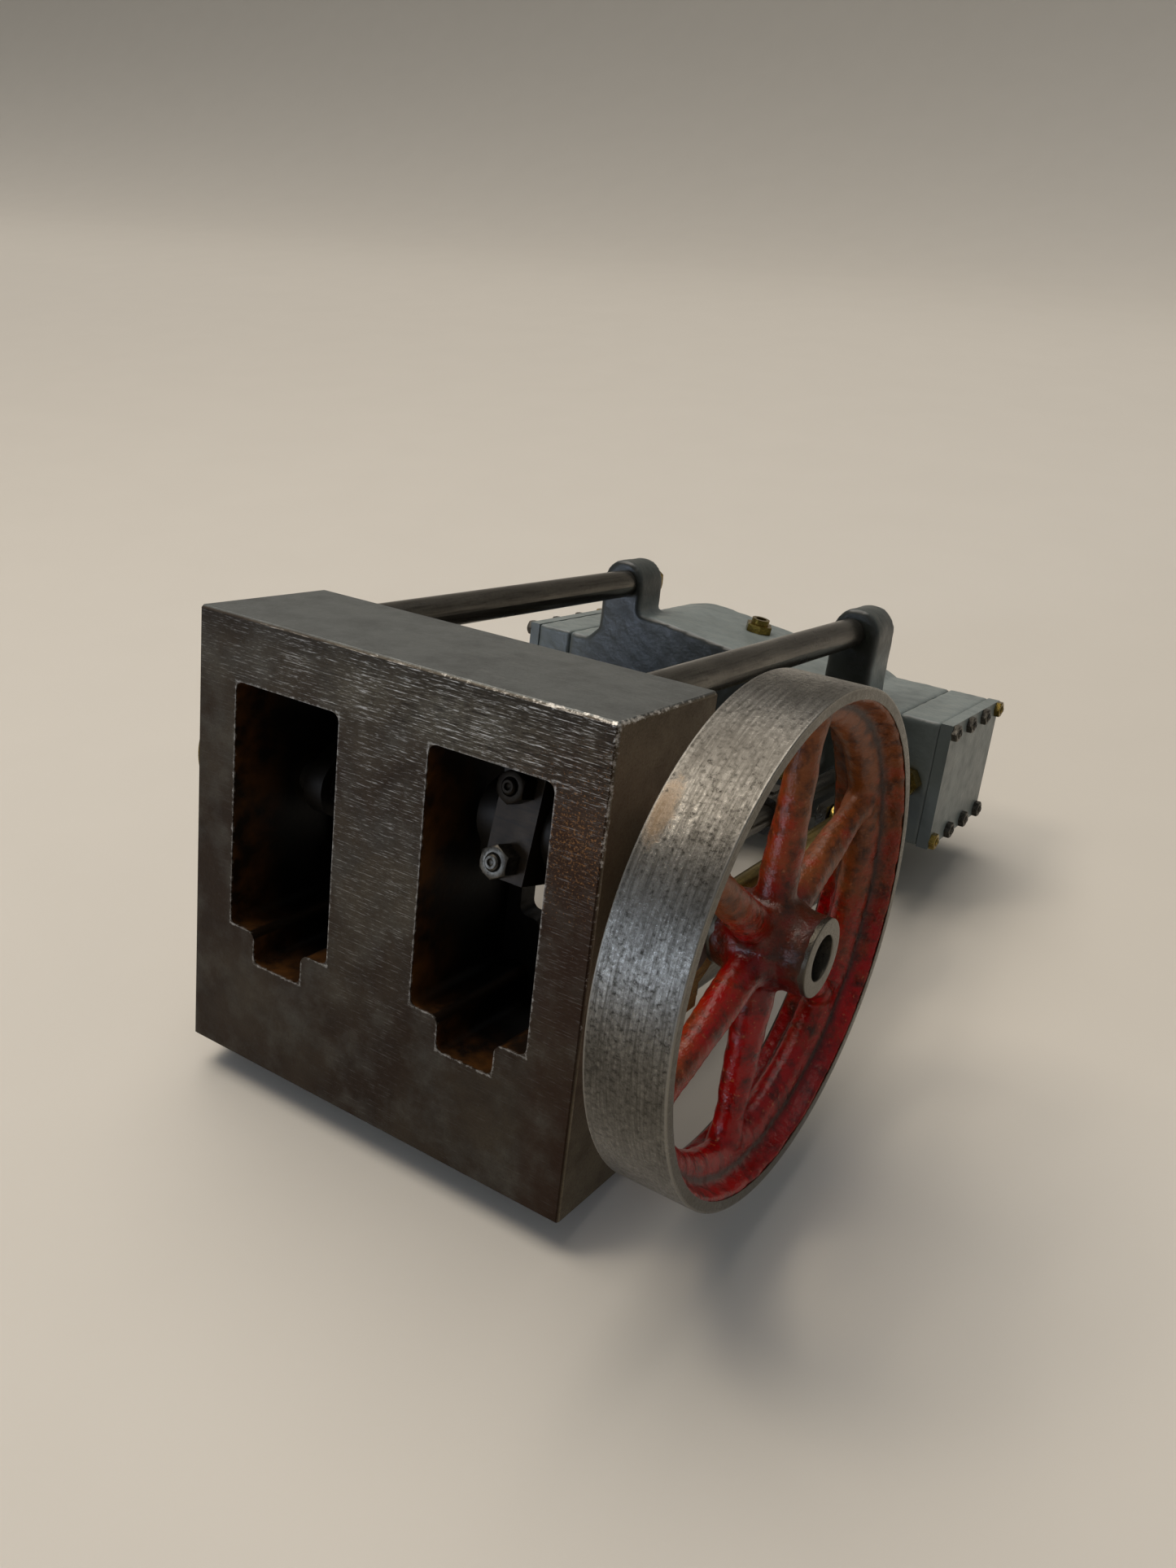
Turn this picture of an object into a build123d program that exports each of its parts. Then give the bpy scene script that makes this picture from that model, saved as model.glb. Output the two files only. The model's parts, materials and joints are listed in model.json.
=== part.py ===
from build123d import *
import os
from math import asin, atan2, cos, degrees, radians, sin, sqrt, tan

# Twin-cylinder vertical steam engine, stored lying on its back.
# The engine is modelled standing: X runs along the crankshaft towards the flywheel,
# the columns of the front stand at -Y, Z = 0 is the underside of the bedplate and
# Y = 0 is the plane of the crankshaft. The last section lays it down. Millimetres.

# Bedplate, a deep iron block with two wells that the cranks turn in, closed above by a deck
# that has a cross-shaped slot for each connecting rod and its crank webs
bed_width = 100.0
bed_length = 98.0
bed_height = 35.0
bed_edge_break = 0.6
well_width = 28.0
well_length = 53.3
well_front_wall = 13.4
well_corner = 2.0
notch_width = 13.7
notch_length = 7.1
deck_thickness = 5.0
slot_side_gap = 0.6
slot_end_gap = 1.2
slot_length = 49.2

# Crank line and cylinder spacing
crank_setback = 38.5
crank_height = 23.0
cylinder_pitch = 50.0
crank_throw = 10.5
right_crank_angle = 208.0
crank_spacing = -90.0

# Built-up crankshaft
shaft_radius = 4.25
bush_radius = 6.0
pin_radius = 3.75
web_radius = 7.0
web_thickness = 5.0
running_fit = 0.05
end_float = 0.35
shaft_stub = 2.0
shaft_in_hub = 10.4

# Connecting rod and marine big end
rod_length = 43.0
big_end_width = 9.3
big_end_length = 21.6
brass_wall = 2.5
brass_split = 0.2
palm_thickness = 2.8
big_end_bolt_spacing = 14.3
big_end_bolt_radius = 1.5
big_end_nut_flats = 5.9
big_end_nut_height = 4.2
big_end_stud_tip = 0.8
rod_root_radius = 3.4
rod_neck_radius = 2.7
small_end_radius = 4.5
small_end_width = 7.2

# Crosshead, a forked yoke that runs on two round guide rods
guide_offset = 18.0
guide_radius = 2.5
guide_seat = 3.0
guide_boss_radius = 4.5
guide_boss_length = 12.0
crosshead_bar = 6.0
crosshead_thickness = 10.0
cheek_thickness = 3.9
cheek_tail = 6.0
cheek_tail_round = 4.5
fork_clearance = 0.3
fork_end_clearance = 0.5
pivot_radius = 2.0
pivot_head_radius = 3.2
pivot_head = 1.6

# Columns
column_radius = 3.8
column_spigot_radius = 2.5
column_seat = 8.0
column_nut_flats = 7.0
column_nut_height = 3.2
column_tip = 0.8
front_column_inset = 4.2
front_column_side_inset = 15.5
rear_column_side_inset = 5.5
rear_column_y = 28.3

# Cylinder block of a compound: a large low-pressure barrel on the left, a small
# high-pressure barrel by the flywheel and straight walls from one to the other
block_bottom = 140.0
block_length = 42.0
low_barrel_radius = 26.2
high_barrel_radius = 19.5
low_bore_radius = 18.5
high_bore_radius = 12.5
block_floor = 6.0
lug_width = 10.6
front_lug_width = 12.8
front_lug_outset = 1.1
lug_thickness = 12.5
stuffing_radius = 7.5
stuffing_length = 7.0
gland_radius = 5.0
gland_depth = 6.0
gland_flats = 12.0
gland_hex = 3.6
piston_rod_radius = 3.0
piston_spigot_radius = 2.5
piston_thickness = 8.0
piston_clearance = 1.5
ring_groove_width = 1.4
ring_groove_depth = 0.8
ring_land = 1.4

# Cylinder covers
cover_margin = 1.4
cover_thickness = 4.0
cover_crown_inset = 4.4
cover_crown = 1.6
cover_screws = 6
cover_screw_radius = 1.25
cover_screw_depth = 5.0
cover_nut_flats = 4.6
cover_nut_height = 2.2

# Valve chests at both ends of the block
port_stand = 0.3
chest_width = 33.5
chest_depth = 11.0
chest_wall = 4.0
chest_cover_thickness = 3.1
chest_screw_radius = 1.0
chest_screw_depth = 4.0
chest_nut_flats = 3.9
chest_nut_height = 1.9
chest_screw_rows = 4
chest_screw_inset = 2.0

# Valve gear
valve_rod_inset = 5.5
valve_rod_radius = 2.0
valve_gland_radius = 3.0
valve_gland_flats = 6.6
valve_gland_hex = 4.0
valve_width = 16.0
valve_height = 16.0
valve_back = 2.6
valve_face_gap = 0.1
eccentric_throw = 3.0
eccentric_lead = 90.0
sheave_radius = 9.5
sheave_width = 6.0
sheave_boss_radius = 7.5
sheave_boss = 3.6
sheave_gap = 0.4
strap_radius = 13.0
strap_width = 5.6
strap_lug_span = 35.0
strap_lug_height = 7.0
strap_split = 0.3
strap_bolt_spacing = 30.0
strap_bolt_radius = 1.1
strap_bolt_flats = 4.2
strap_bolt_head = 1.8
eccentric_rod_length = 75.0
eccentric_rod_radius = 2.25
eccentric_eye_radius = 3.2
eccentric_eye_width = 4.6
valve_fork_cheek = 2.2
valve_fork_depth = 7.0
valve_fork_tail = 4.4
valve_fork_bridge = 4.0
valve_pivot_radius = 1.2
valve_pivot_head_radius = 2.0
valve_pivot_head = 1.2

# Flywheel
wheel_radius = 47.5
wheel_width = 15.0
rim_lip = 2.3
rim_draft = 1.3
rim_bead_width = 7.0
rim_bead_depth = 8.2
spoke_count = 6
spoke_phase = 25.0
spoke_root_radius = 3.8
spoke_tip_radius = 2.5
spoke_start = 5.6
spoke_sink = 1.45
hub_radius = 7.5
hub_gap = 3.6
hub_lead = 0.9
hub_length = 19.2
hub_swell = 1.2
hub_swell_width = 7.0
hub_swell_slope = 2.5

# Small fittings
grub_radius = 1.1
grub_length = 3.0
union_hex_flats = 7.0
union_hex_height = 2.2
union_radius = 2.6
union_length = 3.8
union_bore = 1.6
union_bore_end = 2.0
union_tail = 4.0
union_x = -4.0
union_height = 28.0

# Places that follow from the sizes above
sides = {"left": -1, "right": 1}
front_y = -crank_setback
rear_y = front_y + bed_length
bed_middle_y = (front_y + rear_y) / 2
well_front_y = front_y + well_front_wall
well_rear_y = well_front_y + well_length
well_middle_y = (well_front_y + well_rear_y) / 2
notch_middle_y = well_rear_y + notch_length / 2
cylinder_x = {name: side * cylinder_pitch / 2 for name, side in sides.items()}
barrel_radius = {"left": low_barrel_radius, "right": high_barrel_radius}
bore_radius = {"left": low_bore_radius, "right": high_bore_radius}
cover_radius = {name: barrel_radius[name] - cover_margin for name in sides}
cover_ring_radius = {name: (bore_radius[name] + cover_radius[name]) / 2 for name in sides}
block_top = block_bottom + block_length
lug_top = block_bottom + lug_thickness
deck_bottom = bed_height - deck_thickness
front_column_x = bed_width / 2 - front_column_side_inset
rear_column_x = bed_width / 2 - rear_column_side_inset
front_column_y = front_y + front_column_inset
column_groups = {
    "front_column_left": [(-front_column_x, front_column_y)],
    "front_column_right": [(front_column_x, front_column_y)],
    "rear_columns": [(-rear_column_x, rear_column_y), (rear_column_x, rear_column_y)],
}
column_places = [place for group in column_groups.values() for place in group]
guide_places = [(x + way * guide_offset, 0.0) for x in cylinder_x.values() for way in (-1, 1)]

# The valve rods stand outside both the bedplate and the barrels, and the wheel outside them
rod_past_bed = bed_width / 2 + sheave_gap + sheave_boss + sheave_width / 2
rod_past_barrel = cylinder_pitch / 2 + low_barrel_radius + port_stand + valve_rod_inset
valve_rod_x = max(rod_past_bed, rod_past_barrel)
port_face = valve_rod_x - valve_rod_inset
sheave_outer = valve_rod_x + sheave_width / 2
shaft_left_end = sheave_outer + shaft_stub
hub_inner_face = sheave_outer + hub_gap
hub_outer_face = hub_inner_face + hub_length
shaft_right_end = hub_inner_face + shaft_in_hub
wheel_inner_face = hub_inner_face + hub_lead

# Crank positions, as angles from +Y towards +Z
crank_angle = {"right": right_crank_angle, "left": right_crank_angle + crank_spacing}
cap_face = pin_radius + brass_wall + palm_thickness
brass_face = pin_radius + brass_wall
web_inner = big_end_width / 2 + end_float
web_outer = web_inner + web_thickness
web_sweep = crank_throw + web_radius
web_slot_length = 2 * (sqrt(web_sweep**2 - (deck_bottom - crank_height) ** 2) + slot_end_gap)


def polar(radius, angle, height):
    """Point (y, z) at a radius and an angle about the crank line."""
    return radius * cos(radians(angle)), height + radius * sin(radians(angle))


def head_above(foot, length):
    """Height of a rod's upper pivot on the plane Y = 0, from its lower pivot."""
    return foot[1] + sqrt(length**2 - foot[0] ** 2)


crank_pin = {name: polar(crank_throw, crank_angle[name], crank_height) for name in sides}
gudgeon_height = {name: head_above(crank_pin[name], rod_length) for name in sides}
gudgeon_bottom = crank_height - crank_throw + rod_length
sheave_centre = {
    name: polar(eccentric_throw, crank_angle[name] + eccentric_lead, crank_height) for name in sides
}
valve_pin_height = {name: head_above(sheave_centre[name], eccentric_rod_length) for name in sides}
valve_pin_middle = crank_height + eccentric_rod_length

# The fork of the crosshead and that of the valve rod leave room for a full stroke
fork_top = 2 * crank_throw + small_end_radius + fork_end_clearance
fork_inner = small_end_width / 2 + fork_clearance
crosshead_top = fork_top + crosshead_bar
valve_fork_top = 2 * eccentric_throw + eccentric_eye_radius + fork_end_clearance
valve_fork_inner = eccentric_eye_width / 2 + fork_clearance
valve_rod_foot = valve_fork_top + valve_fork_bridge

# Heights of the piston and of the slide valve above their crossheads, the same on both sides
piston_rise = block_bottom + block_floor + piston_clearance - gudgeon_bottom
valve_rise = block_bottom + block_length / 2 - valve_pin_middle

pieces = {}


def keep(builder, label):
    """Label a finished piece and keep it for the lying assembly."""
    builder.part.label = label
    pieces[label] = builder.part


def standing(x, y, z):
    """Plane whose Y axis points up at (x, y, z), for turned pieces with an upright axis."""
    return Plane(origin=(x, y, z), x_dir=(1, 0, 0), z_dir=(0, -1, 0))


def lengthwise(y, z):
    """Plane whose Y axis is the engine's X axis, for pieces turned about a crosswise line."""
    return Plane(origin=(0, y, z), x_dir=(0, 1, 0), z_dir=(0, 0, -1))


def rod_plane(x, foot, head):
    """Plane square to X at the foot pivot, with its Y axis along the rod to the head pivot."""
    reach = sqrt((head[0] - foot[0]) ** 2 + (head[1] - foot[1]) ** 2)
    along = ((head[0] - foot[0]) / reach, (head[1] - foot[1]) / reach)
    return Plane(origin=(x, *foot), x_dir=(0, along[1], -along[0]), z_dir=(1, 0, 0))


def across(plane, height):
    """Plane square to a rod at a height above its foot, with its X axis kept."""
    return Plane(origin=plane.origin + plane.y_dir * height, x_dir=plane.x_dir, z_dir=plane.y_dir)


def outline(plane, points):
    """Face on a plane inside a run of (radius, height) points, for turned pieces."""
    with BuildSketch(plane) as face:
        with BuildLine():
            Polyline(*points, close=True)
        make_face()
    return face.sketch


def turning_axis(plane):
    """Axis that a turned piece is spun about, the plane's own Y axis."""
    return Axis(plane.origin, plane.y_dir)


def hexagon(flats):
    """Hexagon across flats, with two flats square to the sketch's Y axis."""
    RegularPolygon(flats / 2, 6, major_radius=False)


# Bedplate
with BuildPart() as bedplate:
    with BuildSketch():
        with Locations((0, bed_middle_y)):
            Rectangle(bed_width, bed_length)
    extrude(amount=bed_height)
    chamfer(bedplate.edges(), bed_edge_break)
    with BuildSketch() as wells:
        for x in cylinder_x.values():
            with Locations((x, well_middle_y)):
                Rectangle(well_width, well_length)
            with Locations((x, notch_middle_y)):
                Rectangle(notch_width, notch_length)
        fillet(wells.vertices(), well_corner)
    extrude(amount=deck_bottom, mode=Mode.SUBTRACT)
    with BuildSketch(Plane.XY.offset(deck_bottom)) as slots:
        for x in cylinder_x.values():
            with Locations((x, 0)):
                Rectangle(2 * (web_outer + slot_side_gap), web_slot_length)
                Rectangle(big_end_width + 2 * slot_side_gap, slot_length)
        fillet(slots.vertices(), well_corner)
    extrude(amount=deck_thickness, mode=Mode.SUBTRACT)
    with BuildSketch(Plane.YZ.offset(-bed_width / 2)):
        with Locations((0, crank_height)):
            Circle(bush_radius)
    extrude(amount=bed_width, mode=Mode.SUBTRACT)
    with BuildSketch(Plane.XY.offset(bed_height)):
        with Locations(*column_places):
            Circle(column_spigot_radius)
    extrude(amount=-column_seat, mode=Mode.SUBTRACT)
    with BuildSketch(Plane.XY.offset(bed_height)):
        with Locations(*guide_places):
            Circle(guide_radius)
    extrude(amount=-guide_seat, mode=Mode.SUBTRACT)
keep(bedplate, "bedplate")

# Main bushes, one in each wall that carries the shaft
well_inner = cylinder_pitch / 2 - well_width / 2
well_outer = cylinder_pitch / 2 + well_width / 2
bush_spans = [(-bed_width / 2, -well_outer), (-well_inner, well_inner), (well_outer, bed_width / 2)]
with BuildPart() as main_bushes:
    for start, end in bush_spans:
        with BuildSketch(Plane.YZ.offset(start)):
            with Locations((0, crank_height)):
                Circle(bush_radius)
                Circle(shaft_radius + running_fit, mode=Mode.SUBTRACT)
        extrude(amount=end - start)
keep(main_bushes, "main_bushes")

# Columns, shouldered at both ends, and their nuts on the lugs
column_outline = [
    (0, bed_height - column_seat),
    (column_spigot_radius, bed_height - column_seat),
    (column_spigot_radius, bed_height),
    (column_radius, bed_height),
    (column_radius, block_bottom),
    (column_spigot_radius, block_bottom),
    (column_spigot_radius, lug_top + column_nut_height + column_tip),
    (0, lug_top + column_nut_height + column_tip),
]
for label, group in column_groups.items():
    with BuildPart() as columns:
        for x, y in group:
            foot = standing(x, y, 0)
            revolve(outline(foot, column_outline), axis=turning_axis(foot))
    keep(columns, label)

with BuildPart() as column_nuts:
    with BuildSketch(Plane.XY.offset(lug_top)):
        with Locations(*column_places):
            hexagon(column_nut_flats)
            Circle(column_spigot_radius, mode=Mode.SUBTRACT)
    extrude(amount=column_nut_height)
keep(column_nuts, "column_nuts")

# Guide rods between the bedplate and the cylinder block
with BuildPart() as guide_rods:
    with BuildSketch(Plane.XY.offset(bed_height - guide_seat)):
        with Locations(*guide_places):
            Circle(guide_radius)
    extrude(amount=block_bottom - bed_height + 2 * guide_seat)
keep(guide_rods, "guide_rods")


def cover_screw_places(name):
    """Ring of screws about a cylinder's axis, half way between its bore and the cover's edge."""
    step = 360 / cover_screws
    ring = [polar(cover_ring_radius[name], step * (i + 0.5), 0) for i in range(cover_screws)]
    return [(cylinder_x[name] + dx, dy) for dx, dy in ring]


all_cover_screws = [place for name in sides for place in cover_screw_places(name)]

# Chest screws, as (y, z) down both long edges of a chest
chest_middle = block_bottom + block_length / 2
chest_screw_y = chest_width / 2 - chest_screw_inset
chest_screw_pitch = (block_length - 2 * chest_screw_inset) / (chest_screw_rows - 1)
chest_screw_places = [
    (way * chest_screw_y, block_bottom + chest_screw_inset + row * chest_screw_pitch)
    for way in (-1, 1)
    for row in range(chest_screw_rows)
]

# The straight walls touch both barrels and close in towards the smaller one
wall_slope = asin((low_barrel_radius - high_barrel_radius) / cylinder_pitch)
wall_touches = [
    (cylinder_x[name] + barrel_radius[name] * sin(wall_slope), way * barrel_radius[name] * cos(wall_slope))
    for name, way in (("left", -1), ("right", -1), ("right", 1), ("left", 1))
]
union_y = (union_x - cylinder_x["left"]) * tan(wall_slope) - low_barrel_radius / cos(wall_slope)
union_face = Plane(
    origin=(union_x, union_y, block_bottom + union_height),
    x_dir=(cos(wall_slope), sin(wall_slope), 0),
    z_dir=(sin(wall_slope), -cos(wall_slope), 0),
)

# Cylinder block: two barrels, the walls between them, port faces and column lugs
with BuildPart() as cylinder_block:
    with BuildSketch(Plane.XY.offset(block_bottom)):
        for name, x in cylinder_x.items():
            with Locations((x, 0)):
                Circle(barrel_radius[name])
        Polygon(*wall_touches, align=None)
        Rectangle(2 * port_face, chest_width)
    extrude(amount=block_length)
    with BuildSketch(Plane.XY.offset(block_bottom)):
        for side in sides.values():
            x = side * (front_column_x + front_lug_outset)
            SlotCenterPoint((x, front_column_y / 2), (x, front_column_y), front_lug_width)
            x = side * rear_column_x
            SlotCenterPoint((x, rear_column_y / 2), (x, rear_column_y), lug_width)
    extrude(amount=lug_thickness)
    with BuildSketch(Plane.XY.offset(block_bottom)):
        for x in cylinder_x.values():
            with Locations((x, 0)):
                Circle(stuffing_radius)
    extrude(amount=-stuffing_length)
    with BuildSketch(Plane.XY.offset(block_top)):
        for name, x in cylinder_x.items():
            with Locations((x, 0)):
                Circle(bore_radius[name])
    extrude(amount=block_floor - block_length, mode=Mode.SUBTRACT)
    with BuildSketch(Plane.XY.offset(block_bottom - stuffing_length)):
        for x in cylinder_x.values():
            with Locations((x, 0)):
                Circle(gland_radius)
    extrude(amount=gland_depth, mode=Mode.SUBTRACT)
    with BuildSketch(Plane.XY.offset(block_bottom - stuffing_length)):
        for x in cylinder_x.values():
            with Locations((x, 0)):
                Circle(piston_rod_radius + running_fit)
    extrude(amount=stuffing_length + block_floor, mode=Mode.SUBTRACT)
    with BuildSketch(Plane.XY.offset(block_bottom)):
        with Locations(*column_places):
            Circle(column_spigot_radius)
    extrude(amount=lug_thickness, mode=Mode.SUBTRACT)
    with BuildSketch(Plane.XY.offset(block_bottom)):
        with Locations(*guide_places):
            Circle(guide_radius)
    extrude(amount=guide_seat, mode=Mode.SUBTRACT)
    with BuildSketch(Plane.XY.offset(block_top)):
        with Locations(*all_cover_screws):
            Circle(cover_screw_radius)
    extrude(amount=-cover_screw_depth, mode=Mode.SUBTRACT)
    for side in sides.values():
        with BuildSketch(Plane.YZ.offset(side * port_face)):
            with Locations(*chest_screw_places):
                Circle(chest_screw_radius)
        extrude(amount=-side * chest_screw_depth, mode=Mode.SUBTRACT)
    with BuildSketch(union_face):
        Circle(union_radius)
    extrude(amount=-union_tail, mode=Mode.SUBTRACT)
keep(cylinder_block, "cylinder_block")

# Steam union on the front wall between the barrels
with BuildPart() as steam_union:
    union_plane = Plane(origin=union_face.origin, x_dir=union_face.x_dir, z_dir=(0, 0, 1))
    union_outline = [
        (0, union_tail),
        (union_radius, union_tail),
        (union_radius, -union_length),
        (union_bore, -union_length),
        (union_bore, union_bore_end),
        (0, union_bore_end),
    ]
    revolve(outline(union_plane, union_outline), axis=turning_axis(union_plane))
    with BuildSketch(union_face):
        hexagon(union_hex_flats)
        Circle(union_radius, mode=Mode.SUBTRACT)
    extrude(amount=union_hex_height)
keep(steam_union, "steam_union")

# Top covers with a low crown, and their screws
for name, x in cylinder_x.items():
    with BuildPart() as cover:
        with BuildSketch(Plane.XY.offset(block_top)):
            with Locations((x, 0)):
                Circle(cover_radius[name])
            with Locations(*cover_screw_places(name)):
                Circle(cover_screw_radius, mode=Mode.SUBTRACT)
        extrude(amount=cover_thickness)
        with BuildSketch(Plane.XY.offset(block_top + cover_thickness)):
            with Locations((x, 0)):
                Circle(bore_radius[name] - cover_crown_inset)
        extrude(amount=cover_crown)
    keep(cover, f"cylinder_cover_{name}")

with BuildPart() as cover_nuts:
    with BuildSketch(Plane.XY.offset(block_top - cover_screw_depth)):
        with Locations(*all_cover_screws):
            Circle(cover_screw_radius)
    extrude(amount=cover_screw_depth + cover_thickness)
    with BuildSketch(Plane.XY.offset(block_top + cover_thickness)):
        with Locations(*all_cover_screws):
            hexagon(cover_nut_flats)
    extrude(amount=cover_nut_height)
keep(cover_nuts, "cover_nuts")

# Piston rod glands, screwed up into the stuffing boxes
for name, x in cylinder_x.items():
    with BuildPart() as gland:
        with BuildSketch(Plane.XY.offset(block_bottom - stuffing_length)):
            with Locations((x, 0)):
                Circle(gland_radius)
        extrude(amount=gland_depth)
        with BuildSketch(Plane.XY.offset(block_bottom - stuffing_length)):
            with Locations((x, 0)):
                hexagon(gland_flats)
        extrude(amount=-gland_hex)
        with Locations((x, 0, block_bottom - stuffing_length)):
            Cylinder(
                piston_rod_radius + running_fit, 2 * (gland_depth + gland_hex), mode=Mode.SUBTRACT
            )
    keep(gland, f"piston_gland_{name}")

# Valve chests, open frames closed by a cover, with a gland for the valve rod
cover_face = port_face + chest_depth
for name, side in sides.items():
    with BuildPart() as chest:
        with BuildSketch(Plane.YZ.offset(side * port_face)):
            with Locations((0, chest_middle)):
                Rectangle(chest_width, block_length)
                Rectangle(
                    chest_width - 2 * chest_wall, block_length - 2 * chest_wall, mode=Mode.SUBTRACT
                )
            with Locations(*chest_screw_places):
                Circle(chest_screw_radius, mode=Mode.SUBTRACT)
        extrude(amount=side * chest_depth)
        with BuildSketch(Plane.XY.offset(block_bottom)):
            with Locations((side * valve_rod_x, 0)):
                Circle(valve_gland_radius)
        extrude(amount=chest_wall, mode=Mode.SUBTRACT)
    keep(chest, f"valve_chest_{name}")

    with BuildPart() as chest_cover:
        with BuildSketch(Plane.YZ.offset(side * cover_face)):
            with Locations((0, chest_middle)):
                Rectangle(chest_width, block_length)
            with Locations(*chest_screw_places):
                Circle(chest_screw_radius, mode=Mode.SUBTRACT)
        extrude(amount=side * chest_cover_thickness)
    keep(chest_cover, f"chest_cover_{name}")

    with BuildPart() as valve_gland:
        with BuildSketch(Plane.XY.offset(block_bottom)):
            with Locations((side * valve_rod_x, 0)):
                Circle(valve_gland_radius)
                Circle(valve_rod_radius + running_fit, mode=Mode.SUBTRACT)
        extrude(amount=chest_wall)
        with BuildSketch(Plane.XY.offset(block_bottom)):
            with Locations((side * valve_rod_x, 0)):
                hexagon(valve_gland_flats)
                Circle(valve_rod_radius + running_fit, mode=Mode.SUBTRACT)
        extrude(amount=-valve_gland_hex)
    keep(valve_gland, f"valve_gland_{name}")

with BuildPart() as chest_nuts:
    for side in sides.values():
        with BuildSketch(Plane.YZ.offset(side * (port_face - chest_screw_depth))):
            with Locations(*chest_screw_places):
                Circle(chest_screw_radius)
        extrude(amount=side * (chest_screw_depth + chest_depth + chest_cover_thickness))
        with BuildSketch(Plane.YZ.offset(side * (cover_face + chest_cover_thickness))):
            with Locations(*chest_screw_places):
                hexagon(chest_nut_flats)
        extrude(amount=side * chest_nut_height)
keep(chest_nuts, "chest_nuts")

# Crankshaft: three journals joined by pairs of webs and crank pins
pin_outer = cylinder_pitch / 2 + web_inner
pin_inner = cylinder_pitch / 2 - web_inner
journal_spans = {
    "crankshaft_left": (-shaft_left_end, -pin_outer),
    "crankshaft_centre": (-pin_inner, pin_inner),
    "crankshaft_right": (pin_outer, shaft_right_end),
}
for label, (start, end) in journal_spans.items():
    with BuildPart() as journal:
        with BuildSketch(Plane.YZ.offset(start)):
            with Locations((0, crank_height)):
                Circle(shaft_radius)
        extrude(amount=end - start)
    keep(journal, label)

for name, x in cylinder_x.items():
    pin_y, pin_z = crank_pin[name]
    with BuildPart() as pin:
        with BuildSketch(Plane.YZ.offset(x - web_outer)):
            with Locations((pin_y, pin_z)):
                Circle(pin_radius)
        extrude(amount=2 * web_outer)
    keep(pin, f"crank_pin_{name}")

    with BuildPart() as webs:
        for start in (x - web_outer, x + web_inner):
            with BuildSketch(Plane.YZ.offset(start)):
                SlotCenterPoint(
                    (pin_y / 2, (pin_z + crank_height) / 2), (pin_y, pin_z), 2 * web_radius
                )
                with Locations((0, crank_height)):
                    Circle(shaft_radius, mode=Mode.SUBTRACT)
                with Locations((pin_y, pin_z)):
                    Circle(pin_radius, mode=Mode.SUBTRACT)
            extrude(amount=web_thickness)
    keep(webs, f"crank_webs_{name}")

# Connecting rods with marine big ends: palm, two brasses, cap and bolts
for name, x in cylinder_x.items():
    rod = rod_plane(x, crank_pin[name], (0, gudgeon_height[name]))
    bolt_places = [(way * big_end_bolt_spacing / 2, 0) for way in (-1, 1)]
    with BuildPart() as connecting_rod:
        with BuildSketch(rod):
            with Locations((0, cap_face - palm_thickness / 2)):
                Rectangle(big_end_length, palm_thickness)
        extrude(amount=big_end_width / 2, both=True)
        with BuildSketch(across(rod, cap_face)):
            Circle(rod_root_radius)
        with BuildSketch(across(rod, rod_length)):
            Circle(rod_neck_radius)
        loft()
        with BuildSketch(rod):
            with Locations((0, rod_length)):
                Circle(small_end_radius)
        extrude(amount=small_end_width / 2, both=True)
        with BuildSketch(across(rod, brass_face)):
            with Locations(*bolt_places):
                Circle(big_end_bolt_radius)
        extrude(amount=palm_thickness, mode=Mode.SUBTRACT)
    keep(connecting_rod, f"connecting_rod_{name}")

    with BuildPart() as brasses:
        with BuildSketch(rod):
            Rectangle(big_end_length, 2 * brass_face)
            Rectangle(big_end_length, brass_split, mode=Mode.SUBTRACT)
            Circle(pin_radius + running_fit, mode=Mode.SUBTRACT)
        extrude(amount=big_end_width / 2, both=True)
        with BuildSketch(across(rod, -brass_face)):
            with Locations(*bolt_places):
                Circle(big_end_bolt_radius)
        extrude(amount=2 * brass_face, mode=Mode.SUBTRACT)
    keep(brasses, f"big_end_brasses_{name}")

    with BuildPart() as cap:
        with BuildSketch(rod):
            with Locations((0, palm_thickness / 2 - cap_face)):
                Rectangle(big_end_length, palm_thickness)
        extrude(amount=big_end_width / 2, both=True)
        with BuildSketch(across(rod, -cap_face)):
            with Locations(*bolt_places):
                Circle(big_end_bolt_radius)
        extrude(amount=palm_thickness, mode=Mode.SUBTRACT)
    keep(cap, f"big_end_cap_{name}")

    with BuildPart() as big_end_bolts:
        stud_end = -cap_face - big_end_nut_height - big_end_stud_tip
        with BuildSketch(across(rod, stud_end)):
            with Locations(*bolt_places):
                Circle(big_end_bolt_radius)
        extrude(amount=cap_face - stud_end)
        with BuildSketch(across(rod, cap_face)):
            with Locations(*bolt_places):
                hexagon(big_end_nut_flats)
        extrude(amount=big_end_nut_height)
        with BuildSketch(across(rod, -cap_face)):
            with Locations(*bolt_places):
                hexagon(big_end_nut_flats)
        extrude(amount=-big_end_nut_height)
    keep(big_end_bolts, f"big_end_bolts_{name}")

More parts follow.
